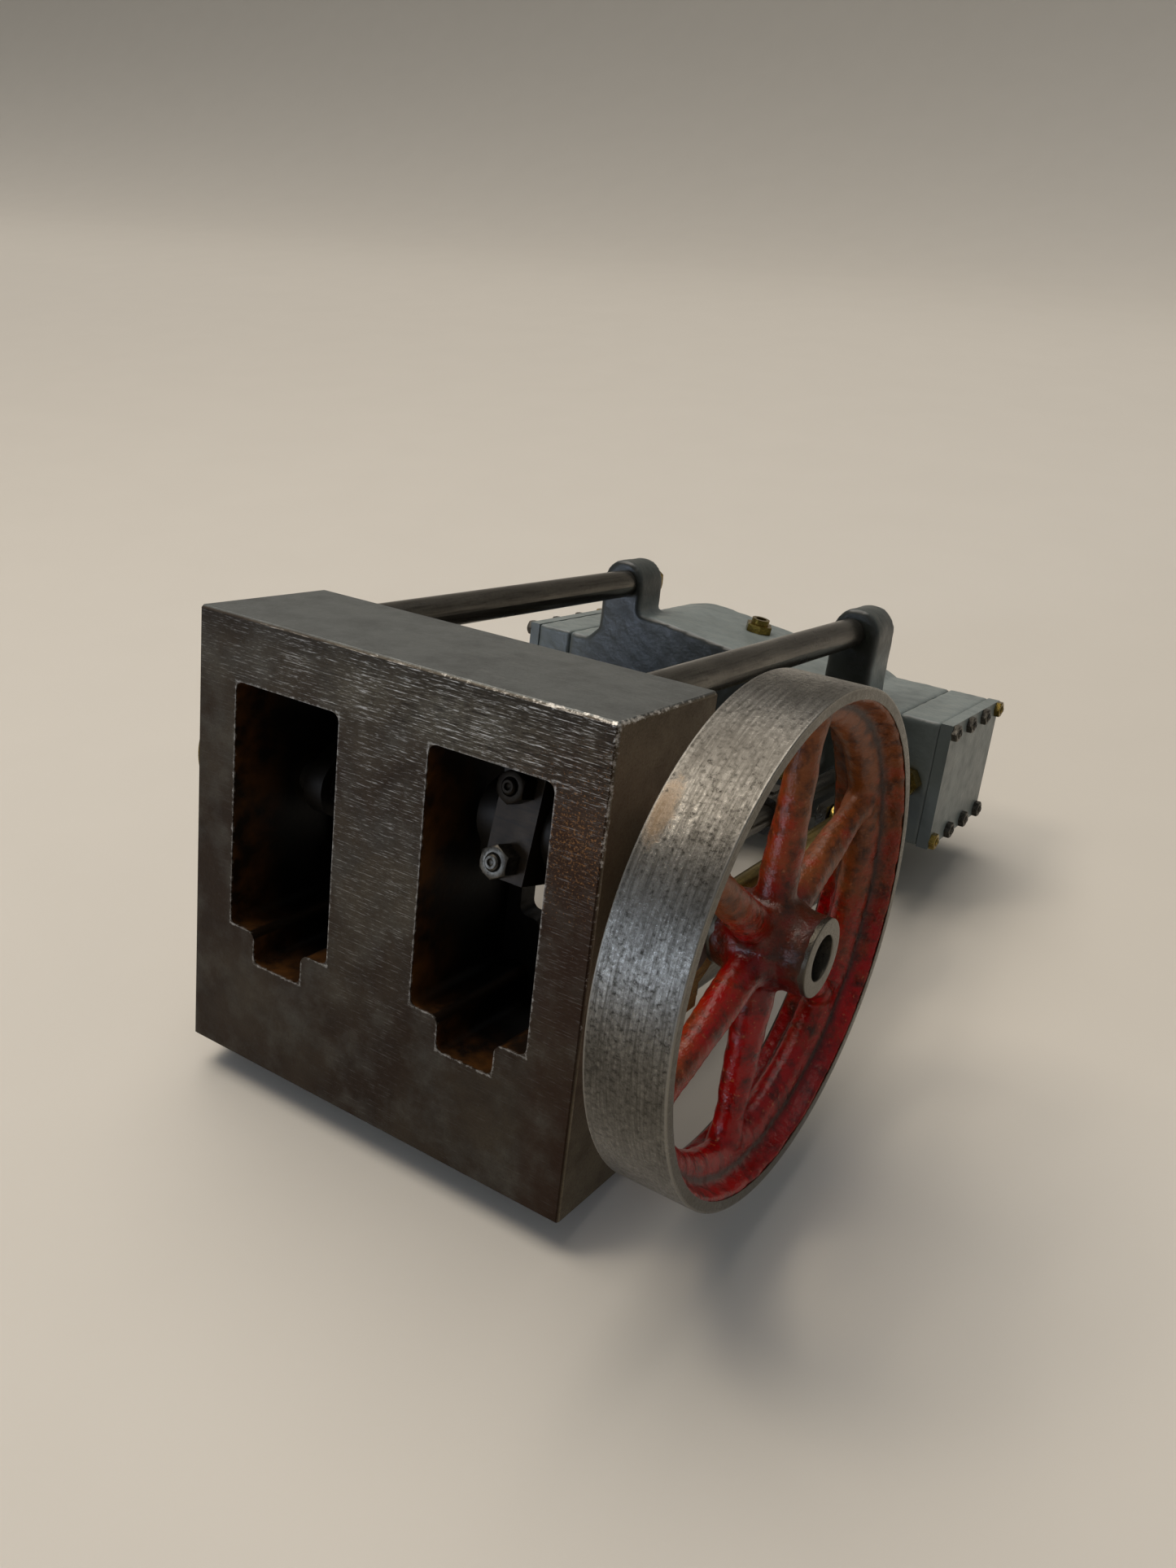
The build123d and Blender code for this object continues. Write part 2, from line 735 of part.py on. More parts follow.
# Crossheads, piston rods and pistons
for name, x in cylinder_x.items():
    gudgeon = gudgeon_height[name]
    cheek_outer = fork_inner + cheek_thickness
    bar_length = 2 * guide_offset
    with BuildPart() as crosshead:
        with BuildSketch(Plane.XZ):
            with Locations((x, gudgeon + fork_top + crosshead_bar / 2)):
                Rectangle(bar_length, crosshead_bar)
            for way in (-1, 1):
                with Locations(
                    (
                        x + way * (fork_inner + cheek_thickness / 2),
                        gudgeon + (crosshead_top - cheek_tail) / 2,
                    )
                ):
                    Rectangle(cheek_thickness, crosshead_top + cheek_tail)
        extrude(amount=crosshead_thickness / 2, both=True)
        tail_edges = crosshead.edges().filter_by(Axis.X).group_by(Axis.Z)[0]
        fillet(tail_edges, cheek_tail_round)
        boss_bottom = gudgeon + fork_top + (crosshead_bar - guide_boss_length) / 2
        boss_places = [(x + way * guide_offset, 0) for way in (-1, 1)]
        with BuildSketch(Plane.XY.offset(boss_bottom)):
            with Locations(*boss_places):
                Circle(guide_boss_radius)
        extrude(amount=guide_boss_length)
        with BuildSketch(Plane.XY.offset(boss_bottom)):
            with Locations(*boss_places):
                Circle(guide_radius + running_fit)
        extrude(amount=guide_boss_length, mode=Mode.SUBTRACT)
        with BuildSketch(Plane.XY.offset(gudgeon + crosshead_top)):
            with Locations((x, 0)):
                Circle(piston_spigot_radius)
        extrude(amount=-crosshead_bar, mode=Mode.SUBTRACT)
        with BuildSketch(Plane.YZ.offset(x - cheek_outer)):
            with Locations((0, gudgeon)):
                Circle(pivot_radius)
        extrude(amount=2 * cheek_outer, mode=Mode.SUBTRACT)
    keep(crosshead, f"crosshead_{name}")

    with BuildPart() as pivot_screws:
        for way in (-1, 1):
            with BuildSketch(Plane.YZ.offset(x + way * fork_inner)):
                with Locations((0, gudgeon)):
                    Circle(pivot_radius)
            extrude(amount=way * cheek_thickness)
            with BuildSketch(Plane.YZ.offset(x + way * cheek_outer)):
                with Locations((0, gudgeon)):
                    Circle(pivot_head_radius)
            extrude(amount=way * pivot_head)
    keep(pivot_screws, f"pivot_screws_{name}")

    piston_foot = gudgeon + piston_rise
    piston_head = piston_foot + piston_thickness
    cylinder_axis = standing(x, 0, 0)
    piston_rod_outline = [
        (0, gudgeon + fork_top),
        (piston_spigot_radius, gudgeon + fork_top),
        (piston_spigot_radius, gudgeon + crosshead_top),
        (piston_rod_radius, gudgeon + crosshead_top),
        (piston_rod_radius, piston_foot),
        (piston_spigot_radius, piston_foot),
        (piston_spigot_radius, piston_head),
        (0, piston_head),
    ]
    with BuildPart() as piston_rod:
        revolve(outline(cylinder_axis, piston_rod_outline), axis=turning_axis(cylinder_axis))
    keep(piston_rod, f"piston_rod_{name}")

    piston_radius = bore_radius[name] - running_fit
    groove_floor = piston_radius - ring_groove_depth
    piston_middle = piston_foot + piston_thickness / 2
    lower_groove = piston_middle - ring_land / 2 - ring_groove_width
    upper_groove = piston_middle + ring_land / 2
    piston_outline = [
        (piston_spigot_radius, piston_foot),
        (piston_radius, piston_foot),
        (piston_radius, lower_groove),
        (groove_floor, lower_groove),
        (groove_floor, lower_groove + ring_groove_width),
        (piston_radius, lower_groove + ring_groove_width),
        (piston_radius, upper_groove),
        (groove_floor, upper_groove),
        (groove_floor, upper_groove + ring_groove_width),
        (piston_radius, upper_groove + ring_groove_width),
        (piston_radius, piston_head),
        (piston_spigot_radius, piston_head),
    ]
    with BuildPart() as piston:
        revolve(outline(cylinder_axis, piston_outline), axis=turning_axis(cylinder_axis))
    keep(piston, f"piston_{name}")

# Eccentric sheaves, straps and rods outside the bedplate
sheave_inner = valve_rod_x - sheave_width / 2
grub_x = sheave_inner - sheave_boss / 2
for name, side in sides.items():
    centre_y, centre_z = sheave_centre[name]
    with BuildPart() as sheave:
        with BuildSketch(Plane.YZ.offset(side * sheave_inner)):
            with Locations((centre_y, centre_z)):
                Circle(sheave_radius)
        extrude(amount=side * sheave_width)
        with BuildSketch(Plane.YZ.offset(side * sheave_inner)):
            with Locations((0, crank_height)):
                Circle(sheave_boss_radius)
        extrude(amount=-side * sheave_boss)
        with BuildSketch(Plane.YZ.offset(side * (sheave_inner - sheave_boss))):
            with Locations((0, crank_height)):
                Circle(shaft_radius)
        extrude(amount=side * (sheave_boss + sheave_width), mode=Mode.SUBTRACT)
        with BuildSketch(Plane.XY.offset(crank_height)):
            with Locations((side * grub_x, 0)):
                Circle(grub_radius)
        extrude(amount=sheave_boss_radius, mode=Mode.SUBTRACT)
    keep(sheave, f"eccentric_sheave_{name}")

    rod = rod_plane(side * valve_rod_x, sheave_centre[name], (0, valve_pin_height[name]))
    bolt_places = [(way * strap_bolt_spacing / 2, 0) for way in (-1, 1)]
    half_lug = strap_lug_height / 2
    with BuildPart() as eccentric_rod:
        with BuildSketch(rod):
            Circle(strap_radius)
            Rectangle(strap_lug_span, strap_lug_height)
            Circle(sheave_radius + running_fit, mode=Mode.SUBTRACT)
            with Locations((0, (strap_lug_span + strap_split) / 2)):
                Rectangle(strap_lug_span, strap_lug_span, mode=Mode.INTERSECT)
        extrude(amount=strap_width / 2, both=True)
        with BuildSketch(across(rod, sheave_radius + eccentric_rod_radius)):
            Circle(eccentric_rod_radius)
        extrude(amount=eccentric_rod_length - sheave_radius - eccentric_rod_radius)
        with BuildSketch(rod):
            with Locations((0, eccentric_rod_length)):
                Circle(eccentric_eye_radius)
        extrude(amount=eccentric_eye_width / 2, both=True)
        with BuildSketch(across(rod, 0)):
            with Locations(*bolt_places):
                Circle(strap_bolt_radius)
        extrude(amount=half_lug, mode=Mode.SUBTRACT)
    keep(eccentric_rod, f"eccentric_rod_{name}")

    with BuildPart() as strap:
        with BuildSketch(rod):
            Circle(strap_radius)
            Rectangle(strap_lug_span, strap_lug_height)
            Circle(sheave_radius + running_fit, mode=Mode.SUBTRACT)
            with Locations((0, -(strap_lug_span + strap_split) / 2)):
                Rectangle(strap_lug_span, strap_lug_span, mode=Mode.INTERSECT)
        extrude(amount=strap_width / 2, both=True)
        with BuildSketch(across(rod, -half_lug)):
            with Locations(*bolt_places):
                Circle(strap_bolt_radius)
        extrude(amount=half_lug, mode=Mode.SUBTRACT)
    keep(strap, f"eccentric_strap_{name}")

    with BuildPart() as strap_bolts:
        with BuildSketch(across(rod, -half_lug)):
            with Locations(*bolt_places):
                Circle(strap_bolt_radius)
        extrude(amount=strap_lug_height)
        for end in (-half_lug - strap_bolt_head, half_lug):
            with BuildSketch(across(rod, end)):
                with Locations(*bolt_places):
                    hexagon(strap_bolt_flats)
            extrude(amount=strap_bolt_head)
    keep(strap_bolts, f"strap_bolts_{name}")

# Valve rods with forked feet, their pivot screws and the slide valves
valve_front = port_face + valve_face_gap
valve_rear = valve_rod_x + valve_rod_radius + valve_back
for name, side in sides.items():
    pivot = valve_pin_height[name]
    valve_middle = pivot + valve_rise
    fork_outer = valve_fork_inner + valve_fork_cheek
    rod_x = side * valve_rod_x
    with BuildPart() as valve_rod:
        with BuildSketch(Plane.XZ):
            with Locations((rod_x, pivot + (valve_rod_foot - valve_fork_tail) / 2)):
                Rectangle(2 * fork_outer, valve_rod_foot + valve_fork_tail)
            with Locations((rod_x, pivot + (valve_fork_top - valve_fork_tail) / 2)):
                Rectangle(2 * valve_fork_inner, valve_fork_top + valve_fork_tail, mode=Mode.SUBTRACT)
        extrude(amount=valve_fork_depth / 2, both=True)
        with BuildSketch(Plane.XY.offset(pivot + valve_rod_foot)):
            with Locations((rod_x, 0)):
                Circle(valve_rod_radius)
        extrude(amount=valve_middle + valve_height / 2 - pivot - valve_rod_foot)
        with BuildSketch(Plane.YZ.offset(rod_x - fork_outer)):
            with Locations((0, pivot)):
                Circle(valve_pivot_radius)
        extrude(amount=2 * fork_outer, mode=Mode.SUBTRACT)
    keep(valve_rod, f"valve_rod_{name}")

    with BuildPart() as valve_pivots:
        for way in (-1, 1):
            with BuildSketch(Plane.YZ.offset(rod_x + way * valve_fork_inner)):
                with Locations((0, pivot)):
                    Circle(valve_pivot_radius)
            extrude(amount=way * valve_fork_cheek)
            with BuildSketch(Plane.YZ.offset(rod_x + way * fork_outer)):
                with Locations((0, pivot)):
                    Circle(valve_pivot_head_radius)
            extrude(amount=way * valve_pivot_head)
    keep(valve_pivots, f"valve_pivots_{name}")

    with BuildPart() as slide_valve:
        with BuildSketch(Plane.YZ.offset(side * valve_front)):
            with Locations((0, valve_middle)):
                Rectangle(valve_width, valve_height)
        extrude(amount=side * (valve_rear - valve_front))
        with BuildSketch(Plane.XY.offset(valve_middle - valve_height / 2)):
            with Locations((rod_x, 0)):
                Circle(valve_rod_radius)
        extrude(amount=valve_height, mode=Mode.SUBTRACT)
    keep(slide_valve, f"slide_valve_{name}")

# Flywheel: flat rim with an inner bead, round tapered spokes and a long hub
wheel_middle = wheel_inner_face + wheel_width / 2
wheel_outer_face = wheel_inner_face + wheel_width
lip_radius = wheel_radius - rim_lip
bead_root = lip_radius - rim_draft
bead_half = rim_bead_width / 2
swell_half = hub_swell_width / 2
flywheel_grub_x = (hub_inner_face + wheel_middle - swell_half - hub_swell_slope) / 2
hub_outline = [
    (shaft_radius, hub_inner_face),
    (hub_radius, hub_inner_face),
    (hub_radius, wheel_middle - swell_half - hub_swell_slope),
    (hub_radius + hub_swell, wheel_middle - swell_half),
    (hub_radius + hub_swell, wheel_middle + swell_half),
    (hub_radius, wheel_middle + swell_half + hub_swell_slope),
    (hub_radius, hub_outer_face),
    (shaft_radius, hub_outer_face),
]
wheel_plane = lengthwise(0, crank_height)
with BuildPart() as flywheel:
    with BuildSketch(wheel_plane):
        with BuildLine():
            Polyline(
                (bead_root, wheel_middle + bead_half),
                (lip_radius, wheel_outer_face),
                (wheel_radius, wheel_outer_face),
                (wheel_radius, wheel_inner_face),
                (lip_radius, wheel_inner_face),
                (bead_root, wheel_middle - bead_half),
            )
            ThreePointArc(
                (bead_root, wheel_middle - bead_half),
                (wheel_radius - rim_bead_depth, wheel_middle),
                (bead_root, wheel_middle + bead_half),
            )
        make_face()
    revolve(axis=turning_axis(wheel_plane))
    revolve(outline(wheel_plane, hub_outline), axis=turning_axis(wheel_plane))
    spoke_end = wheel_radius - rim_bead_depth + spoke_sink
    for i in range(spoke_count):
        angle = radians(spoke_phase + i * 360 / spoke_count)
        out = Vector(0, -sin(angle), cos(angle))
        centre = Vector(wheel_middle, 0, crank_height)
        with BuildSketch(Plane(origin=centre + out * spoke_start, x_dir=(1, 0, 0), z_dir=out)):
            Circle(spoke_root_radius)
        with BuildSketch(Plane(origin=centre + out * spoke_end, x_dir=(1, 0, 0), z_dir=out)):
            Circle(spoke_tip_radius)
        loft()
    with BuildSketch(Plane.XY.offset(crank_height)):
        with Locations((flywheel_grub_x, 0)):
            Circle(grub_radius)
    extrude(amount=hub_radius, mode=Mode.SUBTRACT)
keep(flywheel, "flywheel")

# Grub screws that hold the flywheel and the sheaves on the shaft
with BuildPart() as grub_screws:
    with BuildSketch(Plane.XY.offset(crank_height + shaft_radius)):
        with Locations((-grub_x, 0), (grub_x, 0), (flywheel_grub_x, 0)):
            Circle(grub_radius)
    extrude(amount=grub_length)
keep(grub_screws, "grub_screws")

# Lay the engine on its back: it comes to rest on the rear top edge of the bedplate
# and on the rear column lugs or the barrels, whichever reach the table first
edge_height = bed_height - bed_edge_break
lug_reach = rear_column_y + lug_width / 2
lug_slope = atan2(rear_y - lug_reach, lug_top - edge_height)
barrel_slope = atan2(rear_y - low_barrel_radius, block_top - edge_height)
tilt = degrees(min(lug_slope, barrel_slope))
lying = Location((0, 0, 0), (-90 - tilt, 0, 0))
laid = {label: piece.moved(lying) for label, piece in pieces.items()}
box = Compound(list(laid.values())).bounding_box()
origin_shift = Location((-box.center().X, -box.center().Y, -box.min.Z))

os.makedirs("parts", exist_ok=True)
for label, piece in laid.items():
    placed = piece.moved(origin_shift)
    placed.label = label
    export_step(placed, f"parts/{label}.step")
print(f"{len(laid)} pieces, tilt {tilt:.2f} degrees, shift {origin_shift.position}")
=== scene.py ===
"""Dress a twin-cylinder steam engine, which lies on its back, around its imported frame."""

import json

import bmesh
import bpy
import numpy as np
from bpy.props import FloatProperty, FloatVectorProperty, IntProperty, PointerProperty
from bpy.types import Operator, Panel, PropertyGroup
from mathutils import Matrix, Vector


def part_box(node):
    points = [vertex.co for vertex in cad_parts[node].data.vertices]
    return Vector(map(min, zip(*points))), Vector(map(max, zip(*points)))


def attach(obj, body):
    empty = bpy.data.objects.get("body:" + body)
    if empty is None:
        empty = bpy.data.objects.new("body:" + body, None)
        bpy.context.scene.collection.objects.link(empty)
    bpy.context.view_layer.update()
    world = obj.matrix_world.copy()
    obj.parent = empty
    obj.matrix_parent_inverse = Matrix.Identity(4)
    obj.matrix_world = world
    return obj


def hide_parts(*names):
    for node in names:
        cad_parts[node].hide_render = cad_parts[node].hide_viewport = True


bl_info = {
    "name": "Twin-cylinder steam engine",
    "version": (1, 0, 0),
    "blender": (4, 5, 0),
    "location": "View3D > Sidebar > Steam engine",
    "description": "Finishes, castings and fasteners of a model steam engine around its frame",
    "category": "Object",
}

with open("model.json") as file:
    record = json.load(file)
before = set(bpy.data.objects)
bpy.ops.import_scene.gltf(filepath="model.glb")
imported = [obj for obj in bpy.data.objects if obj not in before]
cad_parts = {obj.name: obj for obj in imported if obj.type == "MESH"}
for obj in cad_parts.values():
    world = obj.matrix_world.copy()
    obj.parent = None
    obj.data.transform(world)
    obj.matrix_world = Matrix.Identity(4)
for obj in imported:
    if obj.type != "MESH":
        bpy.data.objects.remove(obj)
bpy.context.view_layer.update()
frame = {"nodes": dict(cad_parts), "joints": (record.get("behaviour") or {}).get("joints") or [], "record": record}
nodes = frame["nodes"]
joints = {joint["name"]: joint for joint in frame["joints"]}
SLOTS = {sub["node"]: sub["material_slot"] for sub in frame["record"]["subparts"]}

# The engine's own axes: along the crankshaft, towards the rear columns, up to the cylinders.
# Its origin lies on the underside of the bedplate, straight below the middle of the crankshaft.
MM = 0.001
CRANK_HEIGHT = 23.0
ALONG = np.array((1.0, 0.0, 0.0))
UP = np.array(joints["piston_left_slide"]["axis"])
REAR = np.cross(UP, ALONG)
CRANK = np.array(joints["crank_spin"]["pos_m"])
ORIGIN = CRANK - UP * CRANK_HEIGHT * MM
LYING = float(np.arctan2(-UP[1], UP[2]))
SIDES = {"left": -1, "right": 1}


def place(points):
    """Engine millimetres to the row frame's metres."""
    return ORIGIN + MM * np.asarray(points, float) @ np.stack((ALONG, REAR, UP))


def measure(points):
    """The row frame's metres to engine millimetres."""
    return (np.asarray(points, float) - ORIGIN) @ np.stack((ALONG, REAR, UP)).T / MM


def linear(code):
    """An sRGB hex colour as linear red, green, blue and alpha."""
    srgb = np.array([int(code[i : i + 2], 16) / 255 for i in (0, 2, 4)])
    rgb = np.where(srgb <= 0.04045, srgb / 12.92, ((srgb + 0.055) / 1.055) ** 2.4)
    return (*rgb.tolist(), 1.0)


def colour(name, code):
    """A colour that a user may change."""
    return FloatVectorProperty(
        name=name,
        description=f"{name}, as a linear colour",
        subtype="COLOR",
        size=4,
        min=0.0,
        max=1.0,
        default=linear(code),
    )


def length(name, millimetres):
    """A length that a user may change."""
    return FloatProperty(
        name=name,
        description=f"{name} of the real piece",
        unit="LENGTH",
        precision=5,
        min=0.0,
        default=millimetres * MM,
    )


class BedplateFinish(PropertyGroup):
    """Colours of the milled iron bedplate"""

    iron: colour("Milled iron", "4a4336")
    brown: colour("Browned iron", "24170b")
    dark: colour("Dark mill lines", "1f1a15")
    front: colour("Front face", "626665")
    end: colour("Flywheel end", "6a604f")
    # Worn edges, and also the painted highlights on the wells' lips and the painted glints in the mill lines
    bright: colour("Worn edges", "d0ccc4")
    rust: colour("Rust specks", "a06c34")
    rusty: colour("Rust stain", "2e1a0a")
    smudge: colour("Grey smudges", "54524a")
    amber: colour("Amber oil", "4c2d0b")
    # Black oil, and also the painted shade deep in the wells
    oil: colour("Black oil in the wells", "080604")


class FlywheelShape(PropertyGroup):
    """Sizes and colours of the flywheel"""

    rim_lip: length("Bright lip of the rim", 2.3)
    rim_draft: length("Draft inside the lip", 1.3)
    bead_width: length("Width of the inner bead", 7.0)
    bead_depth: length("Depth of the bead from the rim's face", 8.2)
    spoke_count: IntProperty(name="Spokes", description="Number of spokes", default=6, min=3)
    spoke_phase: FloatProperty(
        name="Spoke phase",
        description="Angle of the first spoke from the cylinders to the front",
        subtype="ANGLE",
        default=float(np.radians(25)),
    )
    spoke_root: length("Spoke radius at the hub", 3.8)
    spoke_tip: length("Spoke radius at the rim", 2.5)
    hub_radius: length("Hub radius", 7.5)
    hub_swell: length("Swelling of the hub where the spokes meet it", 1.2)
    hub_swell_width: length("Width of that swelling", 7.0)
    bore: length("Radius of the bore", 4.25)
    enamel: colour("Red enamel", "8c0605")
    patina: colour("Browned enamel", "754018")
    # Grime, and also the painted shade in the groove by the bead
    grime: colour("Grime", "1c0c08")
    chip: colour("Chipped enamel", "a0613a")
    steel: colour("Turned rim", "8a8780")
    # Also the painted shade on the lower rim and across it in front of the crankshaft
    tarnish_and_shade: colour("Dark mottling on the rim", "3a3731")
    pits: colour("Pits in the rim", "1c1a16")
    lip: colour("Faces of the rim", "57534a")
    stain: colour("Tan stain on the rim", "6e5226")


class MetalColours(PropertyGroup):
    """Colours of the paint, the steel and the brass"""

    paint: colour("Blue-grey paint", "6e7776")
    # Oil on the paint, and also the painted shade on the block's downward faces and front lugs
    oily_and_shaded_paint: colour("Oily paint", "141812")
    steel: colour("Oiled steel", "64615a")
    dark_steel: colour("Dark oil on steel", "2f2a24")
    cap_steel: colour("Big-end caps under oil", "2a2013")
    black_steel: colour("Running gear under black oil", "1e1912")
    black_oil: colour("Black oil", "15110d")
    brass: colour("Brass", "96803f")
    dark_brass: colour("Tarnished brass", "453a1a")
    oily_brass: colour("Bushes under black oil", "2a220f")


class FastenerSizes(PropertyGroup):
    """Sizes of the nuts that show"""

    big_end_flats: length("Big-end nut across flats", 5.9)
    big_end_height: length("Big-end nut height", 4.2)
    big_end_stud: length("Big-end stud radius", 1.5)
    chest_flats: length("Valve-chest nut across flats", 3.9)
    chest_height: length("Valve-chest nut height", 1.5)
    cover_flats: length("Cylinder-cover nut across flats", 4.6)
    cover_height: length("Cylinder-cover nut height", 2.0)
    column_flats: length("Column nut across flats", 7.0)
    column_height: length("Column nut height", 3.2)


class StageSetting(PropertyGroup):
    """Floor and lens"""

    floor: colour("Floor", "c6c1b7")
    lens: FloatProperty(name="Lens", description="Focal length", default=28.83, min=1.0)


def feed(tree, node, inputs):
    """Set a node's inputs: a socket is linked, anything else is its value."""
    for key, value in inputs.items():
        if isinstance(value, bpy.types.NodeSocket):
            tree.links.new(value, node.inputs[key])
        else:
            node.inputs[key].default_value = value


def add(tree, kind, inputs, out=0, **settings):
    """Add a node with its inputs and settings, and return one of its outputs or a slice of them."""
    node = tree.nodes.new("ShaderNode" + kind)
    for key, value in settings.items():
        setattr(node, key, value)
    feed(tree, node, inputs)
    return node.outputs[out]


# Sockets of a colour mix: the share of the upper colour, the two colours and the mixed one
SHARE, UNDER, OVER, MIXED = 0, 6, 7, 2


def begin(name):
    """A new material: itself, its tree, its shader and the place of a point in engine millimetres."""
    material = bpy.data.materials.new(name)
    material.use_nodes = True
    tree = material.node_tree
    spot = add(tree, "TexCoord", {}, "Object")
    lying = {"Location": ORIGIN.tolist(), "Rotation": (LYING, 0, 0), "Scale": (MM, MM, MM)}
    engine = add(tree, "Mapping", {"Vector": spot, **lying}, vector_type="TEXTURE")
    return material, tree, tree.nodes["Principled BSDF"], engine


# Bedplate sizes that its worn edges follow, and the wells and notches of its underside, each as
# half a width, the middle of its length and half its length
BED_HALF = (50.0, 49.0, 17.5)
BED_MIDDLE = (0.0, 10.5, 17.5)
BED_FRONT = -38.5
WELL_X = 25.0
WELL_PLAN = ((14.0, 1.55, 26.65), (6.85, 31.75, 3.55))
WELL_FLOOR = 34.7
# Middle of the rust, how fast its specks thin out from there, and the corner that is worn most
RUST_PLACE = (45.0, -16.0, 0.0)
RUST_FADE = -0.006
WORN_CORNER = (50.0, -38.5, 0.0)
# Worn edges: offset and raggedness in millimetres, and how fast they narrow away from that corner;
# raggedness of the painted highlight along the lips of the wells
EDGE_WEAR, EDGE_FRAY, EDGE_FADE = -1.9, 4.0, 0.014
LIP_FRAY = 2.4
# Height that still counts as the underside
UNDERSIDE = 0.3
# Stretch along the crankshaft of the mill lines and of the dashes between them
MILL_LINES = (0.035, 1.0, 1.0)
MILL_DASHES = (0.12, 1.0, 1.0)
# How far the freshly milled band keeps browning off
BAND_FRESH = -0.35


